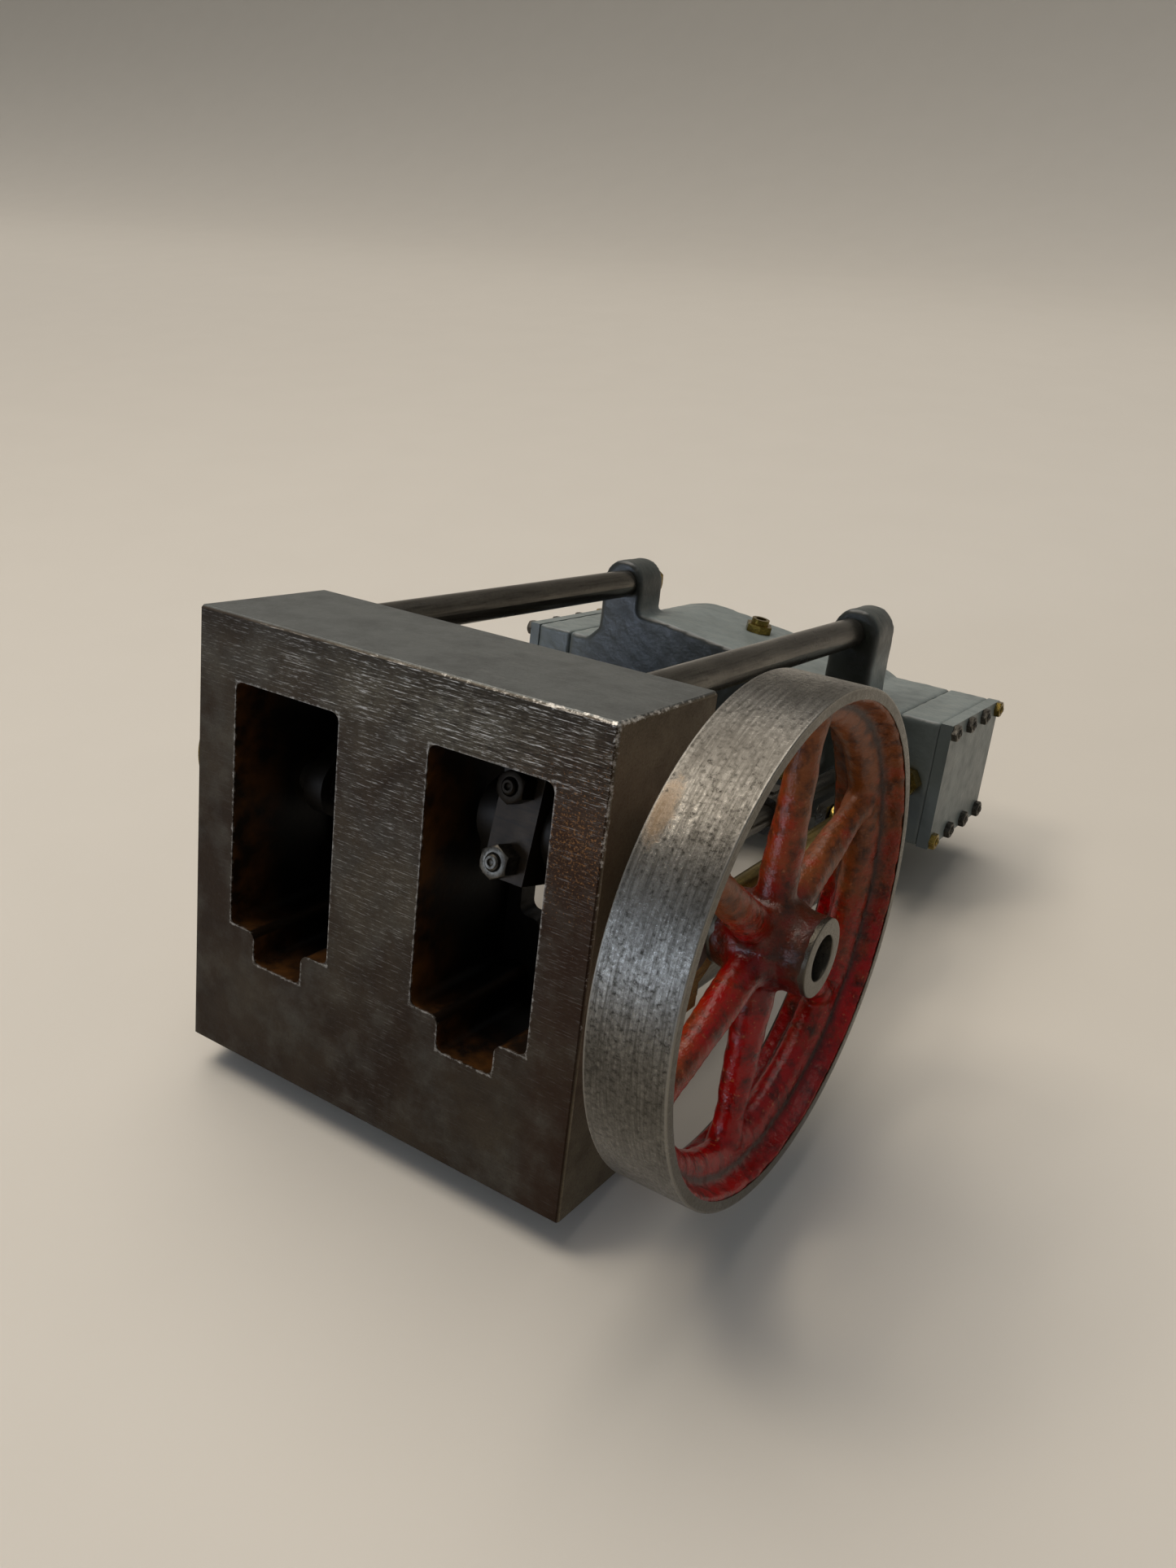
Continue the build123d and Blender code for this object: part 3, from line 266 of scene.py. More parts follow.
def milled_iron(look):
    """Milled cast iron: dark mill lines along the crankshaft, bright frayed edges, and wells of oil and painted
    shade.
    """
    material, tree, shader, engine = begin("milled_iron")
    x, y, z = add(tree, "SeparateXYZ", {0: engine}, slice(0, 3))
    drawn_out = add(tree, "Mapping", {"Vector": engine, "Scale": MILL_LINES})
    dashed = add(tree, "Mapping", {"Vector": engine, "Scale": MILL_DASHES})
    grain = {
        name: add(tree, "TexNoise", {"Vector": where, "Scale": 1 / size, "Detail": 6.0, "Roughness": rough})
        for name, (where, size, rough) in {
            "patches": (engine, 30.0, 0.5),
            "clouds": (engine, 7.0, 0.6),
            "smudges": (engine, 12.0, 0.62),
            "fray": (engine, 1.2, 0.7),
            "specks": (engine, 0.55, 0.7),
            "lines": (drawn_out, 0.32, 0.6),
            "dashes": (dashed, 0.24, 0.65),
        }.items()
    }

    # On a face one of the three depths is nought, so the middle one is that of the nearest edge
    off_middle = add(tree, "VectorMath", {0: engine, 1: BED_MIDDLE}, operation="SUBTRACT")
    reach = add(tree, "VectorMath", {0: off_middle}, operation="ABSOLUTE")
    depths = add(tree, "VectorMath", {0: BED_HALF, 1: reach}, operation="SUBTRACT")
    in_x, in_y, in_z = add(tree, "SeparateXYZ", {0: depths}, slice(0, 3))
    low = add(tree, "Math", {0: in_x, 1: in_y}, operation="MINIMUM")
    high = add(tree, "Math", {0: in_x, 1: in_y}, operation="MAXIMUM")
    high = add(tree, "Math", {0: high, 1: in_z}, operation="MINIMUM")
    edge = add(tree, "Math", {0: low, 1: high}, operation="MAXIMUM")

    # How far a point of the underside lies outside the wells, and whether it is within one
    aside = add(tree, "Math", {0: x}, operation="ABSOLUTE")
    beside = add(tree, "Math", {0: aside, 1: WELL_X}, operation="SUBTRACT")
    beside = add(tree, "Math", {0: beside}, operation="ABSOLUTE")
    past = []
    for half_x, middle_y, half_y in WELL_PLAN:
        past_x = add(tree, "Math", {0: beside, 1: half_x}, operation="SUBTRACT")
        reach_y = add(tree, "Math", {0: y, 1: middle_y}, operation="SUBTRACT")
        reach_y = add(tree, "Math", {0: reach_y}, operation="ABSOLUTE")
        past_y = add(tree, "Math", {0: reach_y, 1: half_y}, operation="SUBTRACT")
        past.append(add(tree, "Math", {0: past_x, 1: past_y}, operation="MAXIMUM"))
    outside = add(tree, "Math", {0: past[0], 1: past[1]}, operation="MINIMUM")
    lip = add(tree, "Math", {0: outside}, operation="ABSOLUTE")
    lip = add(tree, "Math", {0: lip, 1: z}, operation="MAXIMUM")
    lip = add(tree, "Math", {0: grain["fray"], 1: LIP_FRAY, 2: lip}, operation="MULTIPLY_ADD")
    above = add(tree, "Math", {0: UNDERSIDE, 1: z}, operation="SUBTRACT")
    below = add(tree, "Math", {0: z, 1: WELL_FLOOR}, operation="SUBTRACT")
    within = add(tree, "Math", {0: above, 1: below}, operation="MAXIMUM")
    within = add(tree, "Math", {0: within, 1: outside}, operation="MAXIMUM")

    # Edges fray most at the corner by the flywheel, and rust is thickest below that corner
    from_corner = add(tree, "VectorMath", {0: engine, 1: WORN_CORNER}, "Value", operation="DISTANCE")
    hardness = add(tree, "Math", {0: from_corner, 1: EDGE_FADE, 2: EDGE_WEAR}, operation="MULTIPLY_ADD")
    frayed = add(tree, "Math", {0: grain["fray"], 1: EDGE_FRAY, 2: hardness}, operation="MULTIPLY_ADD")
    ragged = add(tree, "Math", {0: edge, 1: frayed}, operation="ADD")
    from_rust = add(tree, "VectorMath", {0: engine, 1: RUST_PLACE}, "Value", operation="DISTANCE")
    rusting = add(tree, "Math", {0: from_rust, 1: RUST_FADE, 2: grain["specks"]}, operation="MULTIPLY_ADD")
    milling = add(tree, "Math", {0: grain["lines"], 1: grain["dashes"]}, operation="ADD")
    masks = {
        name: add(tree, "MapRange", dict(enumerate(stops)))
        for name, stops in {
            "front": (y, BED_FRONT + 0.4, BED_FRONT + 0.05, 0.0, 1.0),
            "end": (x, BED_HALF[0] - 0.4, BED_HALF[0] - 0.05, 0.0, 1.0),
            "band": (y, -28.0, -20.0, 1.0, 0.0),
            "strip": (aside, 9.0, 12.0, 0.6, 0.2),
            "rear": (y, -15.0, 40.0, 1.0, 0.15),
            # Stronger mill lines and less browning towards the right end, partly painted sheen
            "left": (x, -46.0, 20.0, 0.25, 1.25),
            "under": (z, UNDERSIDE, 0.0, 0.1, 1.0),
            "shadow": (y, -37.5, -33.0, 0.6, 0.0),
            "dark_lines": (milling, 1.0, 0.78, 0.0, 1.0),
            # Pale mill lines: partly real marks and partly painted glints
            "pale_lines": (milling, 1.07, 1.27, 0.0, 0.7),
            "dirt": (grain["clouds"], 0.42, 0.68, 0.0, 0.3),
            "dots": (grain["specks"], 0.68, 0.75, 0.0, 0.25),
            "pores": (grain["specks"], 0.5, 0.66, 0.0, 0.4),
            "smudge": (grain["smudges"], 0.46, 0.68, 0.0, 0.45),
            "right": (x, 37.0, 42.0, 0.0, 0.8),
            "blots": (grain["clouds"], 0.36, 0.6, 0.2, 1.0),
            "stain": (from_rust, 4.0, 26.0, 0.75, 0.0),
            "rust": (rusting, 0.5, 0.62, 0.0, 0.55),
            "well": (within, 0.05, 0.1, 1.0, 0.0),
            "amber": (grain["clouds"], 0.4, 0.66, 0.08, 1.0),
            "shallow": (z, 0.5, 16.0, 1.0, 0.0),
            "worn": (ragged, 0.1, 0.8, 0.95, 0.0),
            # Painted highlight along the lips of the wells
            "lip": (lip, 0.9, 1.5, 0.45, 0.0),
        }.items()
    }
    strip = add(tree, "Math", {0: masks["strip"], 1: masks["rear"]}, operation="MULTIPLY")
    band = add(tree, "Math", {0: masks["band"], 1: strip}, operation="MAXIMUM")
    band = add(tree, "Math", {0: band, 1: masks["left"]}, operation="MULTIPLY")
    browning = add(tree, "Math", {0: band, 1: BAND_FRESH, 2: grain["patches"]}, operation="MULTIPLY_ADD")
    brown = add(tree, "MapRange", {0: browning, 1: 0.12, 2: 0.5})
    band = add(tree, "Math", {0: band, 1: masks["under"]}, operation="MULTIPLY")
    shadow = add(tree, "Math", {0: masks["shadow"], 1: masks["under"]}, operation="MULTIPLY")
    right = add(tree, "Math", {0: masks["right"], 1: masks["blots"]}, operation="MULTIPLY")
    stain = add(tree, "Math", {0: masks["stain"], 1: right}, operation="MAXIMUM")
    stain = add(tree, "Math", {0: stain, 1: masks["under"]}, operation="MULTIPLY")
    smudge = add(tree, "Math", {0: masks["smudge"], 1: masks["under"]}, operation="MULTIPLY")
    dark_lines = add(tree, "Math", {0: masks["dark_lines"], 1: band}, operation="MULTIPLY")
    pale_lines = add(tree, "Math", {0: masks["pale_lines"], 1: band}, operation="MULTIPLY")
    rust = add(tree, "Math", {0: masks["rust"], 1: masks["under"]}, operation="MULTIPLY")
    # Amber oil near the mouths of the wells fades with depth to black, oil deepened by painted shade
    amber = add(tree, "Math", {0: masks["amber"], 1: masks["shallow"]}, operation="MULTIPLY")
    oiled = add(tree, "Mix", {SHARE: amber, UNDER: look.oil, OVER: look.amber}, MIXED, data_type="RGBA")
    base = look.iron
    for mask, tone in (
        (brown, look.brown),
        (smudge, look.smudge),
        (stain, look.rusty),
        (shadow, look.dark),
        (masks["front"], look.front),
        (masks["end"], look.end),
        (masks["dirt"], look.dark),
        (masks["pores"], look.dark),
        (dark_lines, look.dark),
        (pale_lines, look.bright),
        (masks["dots"], look.bright),
        (rust, look.rust),
        (masks["worn"], look.bright),
        (masks["well"], oiled),
        (masks["lip"], look.bright),
    ):
        base = add(tree, "Mix", {SHARE: mask, UNDER: base, OVER: tone}, MIXED, data_type="RGBA")
    dull = add(tree, "Math", {0: rust, 1: masks["well"]}, operation="MAXIMUM")
    metallic = add(tree, "Math", {0: dull, 1: -0.6, 2: 0.6}, operation="MULTIPLY_ADD")
    roughness = add(tree, "Math", {0: grain["clouds"], 1: 0.3, 2: 0.3}, operation="MULTIPLY_ADD")
    height = add(tree, "Math", {0: milling, 1: band, 2: grain["fray"]}, operation="MULTIPLY_ADD")
    relief = add(tree, "Bump", {"Height": height, "Distance": 0.07 * MM})
    surface = {"Base Color": base, "Metallic": metallic, "Roughness": roughness, "Normal": relief}
    feed(tree, shader, {**surface, "Specular IOR Level": 0.2})
    return material


# Flywheel places along the crankshaft, from its node; the hub leads the rim by a little
WHEEL_LOW, WHEEL_HIGH = (measure(corner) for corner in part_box("flywheel"))
WHEEL_RADIUS = (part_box("flywheel")[1][2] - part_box("flywheel")[0][2]) / 2 / MM
HUB_INNER, HUB_OUTER = WHEEL_LOW[0], WHEEL_HIGH[0]
HUB_LEAD = 0.9
WHEEL_INNER = HUB_INNER + HUB_LEAD
RIM_HALF = 7.5
WHEEL_MIDDLE = WHEEL_INNER + RIM_HALF
RIM_CORNER = WHEEL_RADIUS + RIM_HALF
# Patches on the rim, each with its middle and how much narrower it is along the engine's axes: a
# tan stain by the inner edge, and a dark patch of painted shade across the rim in front of the
# crankshaft
RIM_PATCHES = {
    "stain": ((66.3, -31.2, -12.8), (3.0, 1.0, 1.0)),
    "oil": ((73.0, -42.5, -3.0), (0.4, 1.0, 1.0)),
}
PATCH_FRAY = 14.0
# Stretch of the rings left by the lathe: across the rim, then a radian round the wheel
RING_STRETCH = (1.0, 2.5, 1.0)
# Radius of the groove between the rim's lip and its bead, darkened with dirt and painted shade
GROOVE_RADIUS = 43.2
# How fast the enamel reddens towards the rear, which lies lowest
REDDENING = -0.008


def turned_steel(look):
    """Steel turned on a lathe: fine rings round the wheel under a dark mottling of old oil."""
    material, tree, shader, engine = begin("turned_steel")
    x, y, z = add(tree, "SeparateXYZ", {0: engine}, slice(0, 3))
    rise = add(tree, "Math", {0: z, 1: CRANK_HEIGHT}, operation="SUBTRACT")
    turn = add(tree, "Math", {0: rise, 1: y}, operation="ARCTAN2")
    unrolled = add(tree, "CombineXYZ", {0: x, 1: turn, 2: 0.0})
    unrolled = add(tree, "Mapping", {"Vector": unrolled, "Scale": RING_STRETCH})
    grain = {
        name: add(tree, "TexNoise", {"Vector": where, "Scale": 1 / size, "Detail": 7.0, "Roughness": rough})
        for name, (where, size, rough) in {
            "patches": (engine, 20.0, 0.5),
            "mottle": (engine, 0.9, 0.75),
            "rings": (unrolled, 0.5, 0.7),
        }.items()
    }
    spread = {}
    for name, (middle, shape) in RIM_PATCHES.items():
        off = add(tree, "VectorMath", {0: engine, 1: middle}, operation="SUBTRACT")
        off = add(tree, "VectorMath", {0: off, 1: shape}, operation="MULTIPLY")
        off = add(tree, "VectorMath", {0: off}, "Value", operation="LENGTH")
        frayed = {0: grain["mottle"], 1: PATCH_FRAY, 2: off}
        spread[name] = add(tree, "Math", frayed, operation="MULTIPLY_ADD")

    # How far a point lies from the middle of the rim's width, and how far from the axis
    off_face = add(tree, "Math", {0: x, 1: WHEEL_MIDDLE}, operation="SUBTRACT")
    off_face = add(tree, "Math", {0: off_face}, operation="ABSOLUTE")
    flat = add(tree, "CombineXYZ", {0: 0.0, 1: y, 2: rise})
    out = add(tree, "VectorMath", {0: flat}, "Value", operation="LENGTH")
    corner = add(tree, "Math", {0: off_face, 1: out}, operation="ADD")
    oily = add(tree, "Math", {0: grain["patches"], 1: 0.6, 2: grain["mottle"]}, operation="MULTIPLY_ADD")
    masks = {
        name: add(tree, "MapRange", dict(enumerate(stops)))
        for name, stops in {
            "oily": (oily, 0.66, 0.98, 0.0, 0.9),
            "rings": (grain["rings"], 0.4, 0.62, 0.0, 0.75),
            "pits": (grain["mottle"], 0.55, 0.66, 0.0, 0.8),
            "stain": (spread["stain"], 9.0, 14.0, 0.75, 0.0),
            # Painted shade in a dark patch across the rim in front of the crankshaft
            "patch": (spread["oil"], 8.0, 20.0, 0.7, 0.0),
            # Painted shade darkening the rim towards the rear, which lies lowest
            "low": (y, -8.0, 12.0, 0.0, 0.45),
            "face": (off_face, RIM_HALF - 0.3, RIM_HALF - 0.1, 0.0, 0.75),
            "edge": (corner, RIM_CORNER - 0.5, RIM_CORNER - 0.2, 0.0, 0.7),
            "hub": (out, 9.0, 12.0, 1.0, 0.0),
        }.items()
    }
    base = look.steel
    for mask, tone in (
        (masks["rings"], look.tarnish_and_shade),
        (masks["oily"], look.tarnish_and_shade),
        (masks["pits"], look.pits),
        (masks["patch"], look.tarnish_and_shade),
        (masks["low"], look.tarnish_and_shade),
        (masks["stain"], look.stain),
        (masks["face"], look.lip),
        (masks["edge"], look.steel),
        (masks["hub"], look.lip),
    ):
        base = add(tree, "Mix", {SHARE: mask, UNDER: base, OVER: tone}, MIXED, data_type="RGBA")
    roughness = add(tree, "Math", {0: masks["oily"], 1: 0.2, 2: 0.24}, operation="MULTIPLY_ADD")
    height = add(tree, "Math", {0: grain["rings"], 1: grain["mottle"]}, operation="ADD")
    relief = add(tree, "Bump", {"Height": height, "Distance": 0.06 * MM})
    metallic = add(tree, "Math", {0: masks["stain"], 1: -1.0, 2: 0.9}, operation="MULTIPLY_ADD")
    feed(tree, shader, {"Base Color": base, "Metallic": metallic, "Roughness": roughness, "Normal": relief})
    return material


def red_enamel(look):
    """Enamel on a rough casting: glossy red below, browned above where hands and rust reach it."""
    material, tree, shader, engine = begin("red_enamel")
    y = add(tree, "SeparateXYZ", {0: engine}, 1)
    grain = {
        name: add(tree, "TexNoise", {"Vector": engine, "Scale": 1 / size, "Detail": 5.0, "Roughness": rough})
        for name, (size, rough) in {
            "patches": (13.0, 0.55),
            "blots": (3.4, 0.7),
            "chips": (0.9, 0.55),
        }.items()
    }
    flat = add(tree, "VectorMath", {0: engine, 1: (0.0, 1.0, 1.0)}, operation="MULTIPLY")
    out = add(tree, "VectorMath", {0: flat, 1: (0.0, 0.0, CRANK_HEIGHT)}, "Value", operation="DISTANCE")
    groove = add(tree, "Math", {0: out, 1: GROOVE_RADIUS}, operation="SUBTRACT")
    groove = add(tree, "Math", {0: groove}, operation="ABSOLUTE")
    browning = add(tree, "Math", {0: y, 1: REDDENING, 2: grain["patches"]}, operation="MULTIPLY_ADD")
    browning = add(tree, "Math", {0: grain["blots"], 1: 0.5, 2: browning}, operation="MULTIPLY_ADD")
    masks = {
        name: add(tree, "MapRange", dict(enumerate(stops)))
        for name, stops in {
            "brown": (browning, 0.6, 0.9, 0.0, 0.95),
            "grime": (grain["blots"], 0.46, 0.68, 0.0, 0.85),
            "chips": (grain["chips"], 0.62, 0.72, 0.0, 0.6),
            # Dirt and painted shade in the groove by the bead
            "groove": (groove, 0.2, 1.0, 0.85, 0.0),
            "hub": (out, 7.0, 15.0, 0.75, 0.0),
        }.items()
    }
    base = look.enamel
    for mask, tone in (
        (masks["brown"], look.patina),
        (masks["grime"], look.grime),
        (masks["chips"], look.chip),
        (masks["groove"], look.grime),
        (masks["hub"], look.grime),
    ):
        base = add(tree, "Mix", {SHARE: mask, UNDER: base, OVER: tone}, MIXED, data_type="RGBA")
    roughness = add(tree, "Math", {0: masks["brown"], 1: 0.26, 2: 0.14}, operation="MULTIPLY_ADD")
    height = add(tree, "Math", {0: grain["chips"], 1: 0.6, 2: grain["blots"]}, operation="MULTIPLY_ADD")
    relief = add(tree, "Bump", {"Height": height, "Distance": 0.28 * MM})
    surface = {"Base Color": base, "Roughness": roughness, "Normal": relief, "Specular IOR Level": 0.3}
    feed(tree, shader, surface)
    return material


def block_paint(look):
    """Satin paint brushed on cast iron with oily patches, and painted shade on the front lugs and on the faces
    that look down towards the cranks.
    """
    material, tree, shader, engine = begin("block_paint")
    x, y = add(tree, "SeparateXYZ", {0: engine}, slice(0, 2))
    aside = add(tree, "Math", {0: x}, operation="ABSOLUTE")
    normal = add(tree, "TexCoord", {}, "Normal")
    facing = add(tree, "VectorMath", {0: normal, 1: UP.tolist()}, "Value", operation="DOT_PRODUCT")
    grain = {
        name: add(tree, "TexNoise", {"Vector": engine, "Scale": 1 / size, "Detail": 5.0})
        for name, size in {"patches": 20.0, "blots": 4.0, "sand": 1.3}.items()
    }
    masks = {
        name: add(tree, "MapRange", dict(enumerate(stops)))
        for name, stops in {
            # Painted shade on the faces that look down towards the cranks, weaker towards the ends
            "painted_shade_below": (facing, -0.2, -0.8, 0.0, 1.0),
            "reach": (aside, 40.0, 60.0, 0.95, 0.45),
            # Painted shade on the front lugs
            "lugs": (y, -26.0, -32.0, 0.0, 0.75),
            "patches": (grain["patches"], 0.4, 0.7, 0.0, 0.25),
            "blots": (grain["blots"], 0.52, 0.7, 0.0, 0.15),
        }.items()
    }
    painted_shade_below = add(tree, "Math", {0: masks["painted_shade_below"], 1: masks["reach"]}, operation="MULTIPLY")
    base = look.paint
    for mask in (painted_shade_below, masks["lugs"], masks["patches"], masks["blots"]):
        base = add(tree, "Mix", {SHARE: mask, UNDER: base, OVER: look.oily_and_shaded_paint}, MIXED, data_type="RGBA")
    roughness = add(tree, "Math", {0: grain["blots"], 1: 0.35, 2: 0.25}, operation="MULTIPLY_ADD")
    relief = add(tree, "Bump", {"Height": grain["sand"], "Distance": 0.12 * MM})
    feed(tree, shader, {"Base Color": base, "Roughness": roughness, "Normal": relief})
    return material


# Stretch of the fine lines on a metal: up towards the cylinders, or along the crankshaft
UPWARDS = (1.0, 1.0, 0.06)
CROSSWISE = (0.08, 1.0, 1.0)


def oiled_metal(name, light, dark, metallic, patch, drawn=UPWARDS, dull=0.14):
    """A drawn or turned metal under old oil: fine lines one way, darker in soft patches of a size.

    The lines of about half a millimetre are coarser than real ones, so that they show.
    """
    material, tree, shader, engine = begin(name)
    lines = add(tree, "Mapping", {"Vector": engine, "Scale": drawn})
    grain = {
        key: add(tree, "TexNoise", {"Vector": where, "Scale": 1 / size, "Detail": 5.0})
        for key, (where, size) in {
            "patches": (engine, patch),
            "marks": (engine, 0.7),
            "lines": (lines, 0.5),
        }.items()
    }
    masks = {
        key: add(tree, "MapRange", dict(enumerate(stops)))
        for key, stops in {
            "patches": (grain["patches"], 0.35, 0.7, 0.0, 0.8),
            "marks": (grain["marks"], 0.5, 0.75, 0.0, 0.5),
            "lines": (grain["lines"], 0.48, 0.66, 0.0, 0.6),
        }.items()
    }
    base = light
    for mask in masks.values():
        base = add(tree, "Mix", {SHARE: mask, UNDER: base, OVER: dark}, MIXED, data_type="RGBA")
    roughness = add(tree, "Math", {0: grain["patches"], 1: 0.25, 2: dull}, operation="MULTIPLY_ADD")
    height = add(tree, "Math", {0: grain["lines"], 1: grain["marks"]}, operation="ADD")
    relief = add(tree, "Bump", {"Height": height, "Distance": 0.02 * MM})
    feed(tree, shader, {"Base Color": base, "Metallic": metallic, "Roughness": roughness, "Normal": relief})
    return material


def softened(corners, radius, steps=5, most=0.45):
    """An open outline, its corners eased by parabolas that take at most a share of either side."""
    corners = np.asarray(corners, float)
    before, here, after = corners[:-2], corners[1:-1], corners[2:]
    run_in = np.linalg.norm(before - here, axis=1, keepdims=True)
    run_out = np.linalg.norm(after - here, axis=1, keepdims=True)
    ease = np.minimum(radius, most * np.minimum(run_in, run_out))
    start = (here + (before - here) / run_in * ease)[:, None]
    end = (here + (after - here) / run_out * ease)[:, None]
    s = np.linspace(0, 1, steps)[None, :, None]
    curve = (1 - s) ** 2 * start + 2 * s * (1 - s) * here[:, None] + s**2 * end
    return np.concatenate((corners[:1], curve.reshape(-1, 2), corners[-1:]))


def frame_about(axis):
    """An axis of length one and two directions square to it and to each other."""
    axis = np.asarray(axis, float) / np.linalg.norm(axis)
    helper = np.array((1.0, 0.0, 0.0)) if abs(axis[0]) < 0.9 else np.array((0.0, 1.0, 0.0))
    first = np.cross(axis, helper)
    first /= np.linalg.norm(first)
    return axis, first, np.cross(axis, first)


def turned(profile, foot, axis, segments=96, flats=None):
    """A lathe surface: each (radius, height) of a profile is carried round an axis from its foot.

    With flats, each radius is the lesser of the profile's and that of a hexagon, so that a cone
    at the top of the profile cuts the hexagon's corners in arcs.
    """
    axis, first, second = frame_about(axis)
    turn = np.linspace(0, 2 * np.pi, segments, endpoint=False)
    ring = np.cos(turn)[:, None] * first + np.sin(turn)[:, None] * second
    radius, height = np.asarray(profile, float).T
    reach = np.broadcast_to(radius[:, None], (len(radius), segments))
    if flats:
        sector = np.mod(turn, np.pi / 3) - np.pi / 6
        reach = np.minimum(reach, flats / 2 / np.cos(sector))
    return np.asarray(foot, float) + reach[..., None] * ring + height[:, None, None] * axis


def gathered(grids):
    """Points and faces of several grids, each closed on itself across its columns."""
    points, faces, count = [], [], 0
    for grid in grids:
        rows, columns = grid.shape[:2]
        row = np.arange(rows - 1)[:, None] * columns
        column = np.arange(columns)[None, :]
        after = (column + 1) % columns
        corners = (row + column, row + after, row + columns + after, row + columns + column)
        points.append(grid.reshape(-1, 3))
        faces.append(count + np.stack(np.broadcast_arrays(*corners), -1).reshape(-1, 4))
        count += rows * columns
    return np.concatenate(points), np.concatenate(faces)


def cleaned(mesh, reach):
    """Merge a mesh's doubled points, such as those at a pole, and turn its faces outwards."""
    work = bmesh.new()
    work.from_mesh(mesh)
    bmesh.ops.remove_doubles(work, verts=work.verts, dist=reach)
    bmesh.ops.dissolve_degenerate(work, edges=work.edges, dist=reach)
    bmesh.ops.recalc_face_normals(work, faces=work.faces)
    work.to_mesh(mesh)
    work.free()


def piece(name, shells, body, stands_for, crease=35.0):
    """Make one mesh of (points, faces, material) shells in engine millimetres and let it ride."""
    points, faces, slots = [], [], []
    count = 0
    for i, (shell_points, shell_faces, _) in enumerate(shells):
        points.append(shell_points)
        faces += (shell_faces + count).tolist()
        slots += [i] * len(shell_faces)
        count += len(shell_points)
    mesh = bpy.data.meshes.new(name)
    mesh.from_pydata(place(np.concatenate(points)).tolist(), [], faces)
    for _, _, material in shells:
        mesh.materials.append(material)
    mesh.polygons.foreach_set("material_index", np.array(slots, np.int32))
    cleaned(mesh, reach=1e-7)
    mesh.shade_smooth()
    mesh.set_sharp_from_angle(angle=float(np.radians(crease)))
    thing = bpy.data.objects.new(name, mesh)
    bpy.context.scene.collection.objects.link(thing)
    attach(thing, body)
    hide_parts(*stands_for)


# Low waves on a casting's skin, about 5, 4 and 2 mm long: radians a millimetre along the engine's
# axes, where the wave starts, and its share
WAVES = (
    ((0.9, 0.5, 0.7), 0.0, 1.0),
    ((-0.6, 1.1, 0.8), 1.7, 1.0),
    ((1.9, -1.6, 2.3), 0.4, 0.6),
)


def cast(points, faces, voxel, rounds, lumps):
    """Closed shells melted into one skin with soft fillets, which waves push along its normals."""
    mesh = bpy.data.meshes.new("melt")
    mesh.from_pydata(points.tolist(), [], faces.tolist())
    cleaned(mesh, reach=1e-4)
    thing = bpy.data.objects.new("melt", mesh)
    bpy.context.scene.collection.objects.link(thing)
    melt = thing.modifiers.new("Melt", "REMESH")
    melt.mode = "VOXEL"
    melt.voxel_size = voxel
    ease = thing.modifiers.new("Ease", "SMOOTH")
    ease.factor = 0.5
    ease.iterations = rounds
    done = thing.evaluated_get(bpy.context.evaluated_depsgraph_get())
    skin = done.to_mesh()
    spots, normals = (np.zeros(len(skin.vertices) * 3) for _ in range(2))
    skin.vertices.foreach_get("co", spots)
    skin.vertices.foreach_get("normal", normals)
    corners = np.zeros(len(skin.polygons) * 4, np.int64)
    skin.polygons.foreach_get("vertices", corners)
    done.to_mesh_clear()
    bpy.data.objects.remove(thing)
    bpy.data.meshes.remove(mesh)
    spots, normals = spots.reshape(-1, 3), normals.reshape(-1, 3)
    waves = sum(share * np.sin(spots @ pitch + start) for pitch, start, share in WAVES)
    return spots + normals * (lumps * waves)[:, None], corners.reshape(-1, 4)


def dress(names, material):
    """Give carried-over nodes a material."""
    for name in names:
        mesh = nodes[name].data
        mesh.materials.clear()
        mesh.materials.append(material)


class ENGINE_OT_bedplate(Operator):
    """Milled iron bedplate with its worn edges and oily wells"""

    bl_idname = "engine.bedplate"
    bl_label = "Bedplate"

    def execute(self, context):
        dress(["bedplate"], milled_iron(context.scene.engine_bedplate))
        return {"FINISHED"}


# Flywheel details in millimetres. Hoop: depth of its back and of its shoulders, width of its lips
# and rounding of its edges
HOOP_BACK, HOOP_SHOULDER, HOOP_LIP, HOOP_EASE = 1.4, 0.8, 1.0, 0.3
# Casting: how far it reaches under the hoop, stands inside the lip and stops short of the faces
CAST_OVERLAP, CAST_STEP, CAST_SHORT = 0.9, 0.3, 0.1
# Hub: its skin outside the bore, how far its ends stop short of the sleeve's, run-out of its
# swelling and rounding of its edges
HUB_SKIN, HUB_SHORT, HUB_RUNOUT, HUB_EASE = 1.0, 0.3, 2.5, 1.0
# Sleeve: how far it lies under the hub's skin, and rounding of its edges
SLEEVE_UNDER, SLEEVE_EASE = 0.2, 0.25
# Spokes: how far off the bore they start, how deep they end in the rim, and their flare at the bead
SPOKE_START, SPOKE_SUNK, SPOKE_FLARE, FLARE_RUN = 1.5, 1.0, 0.7, 1.6


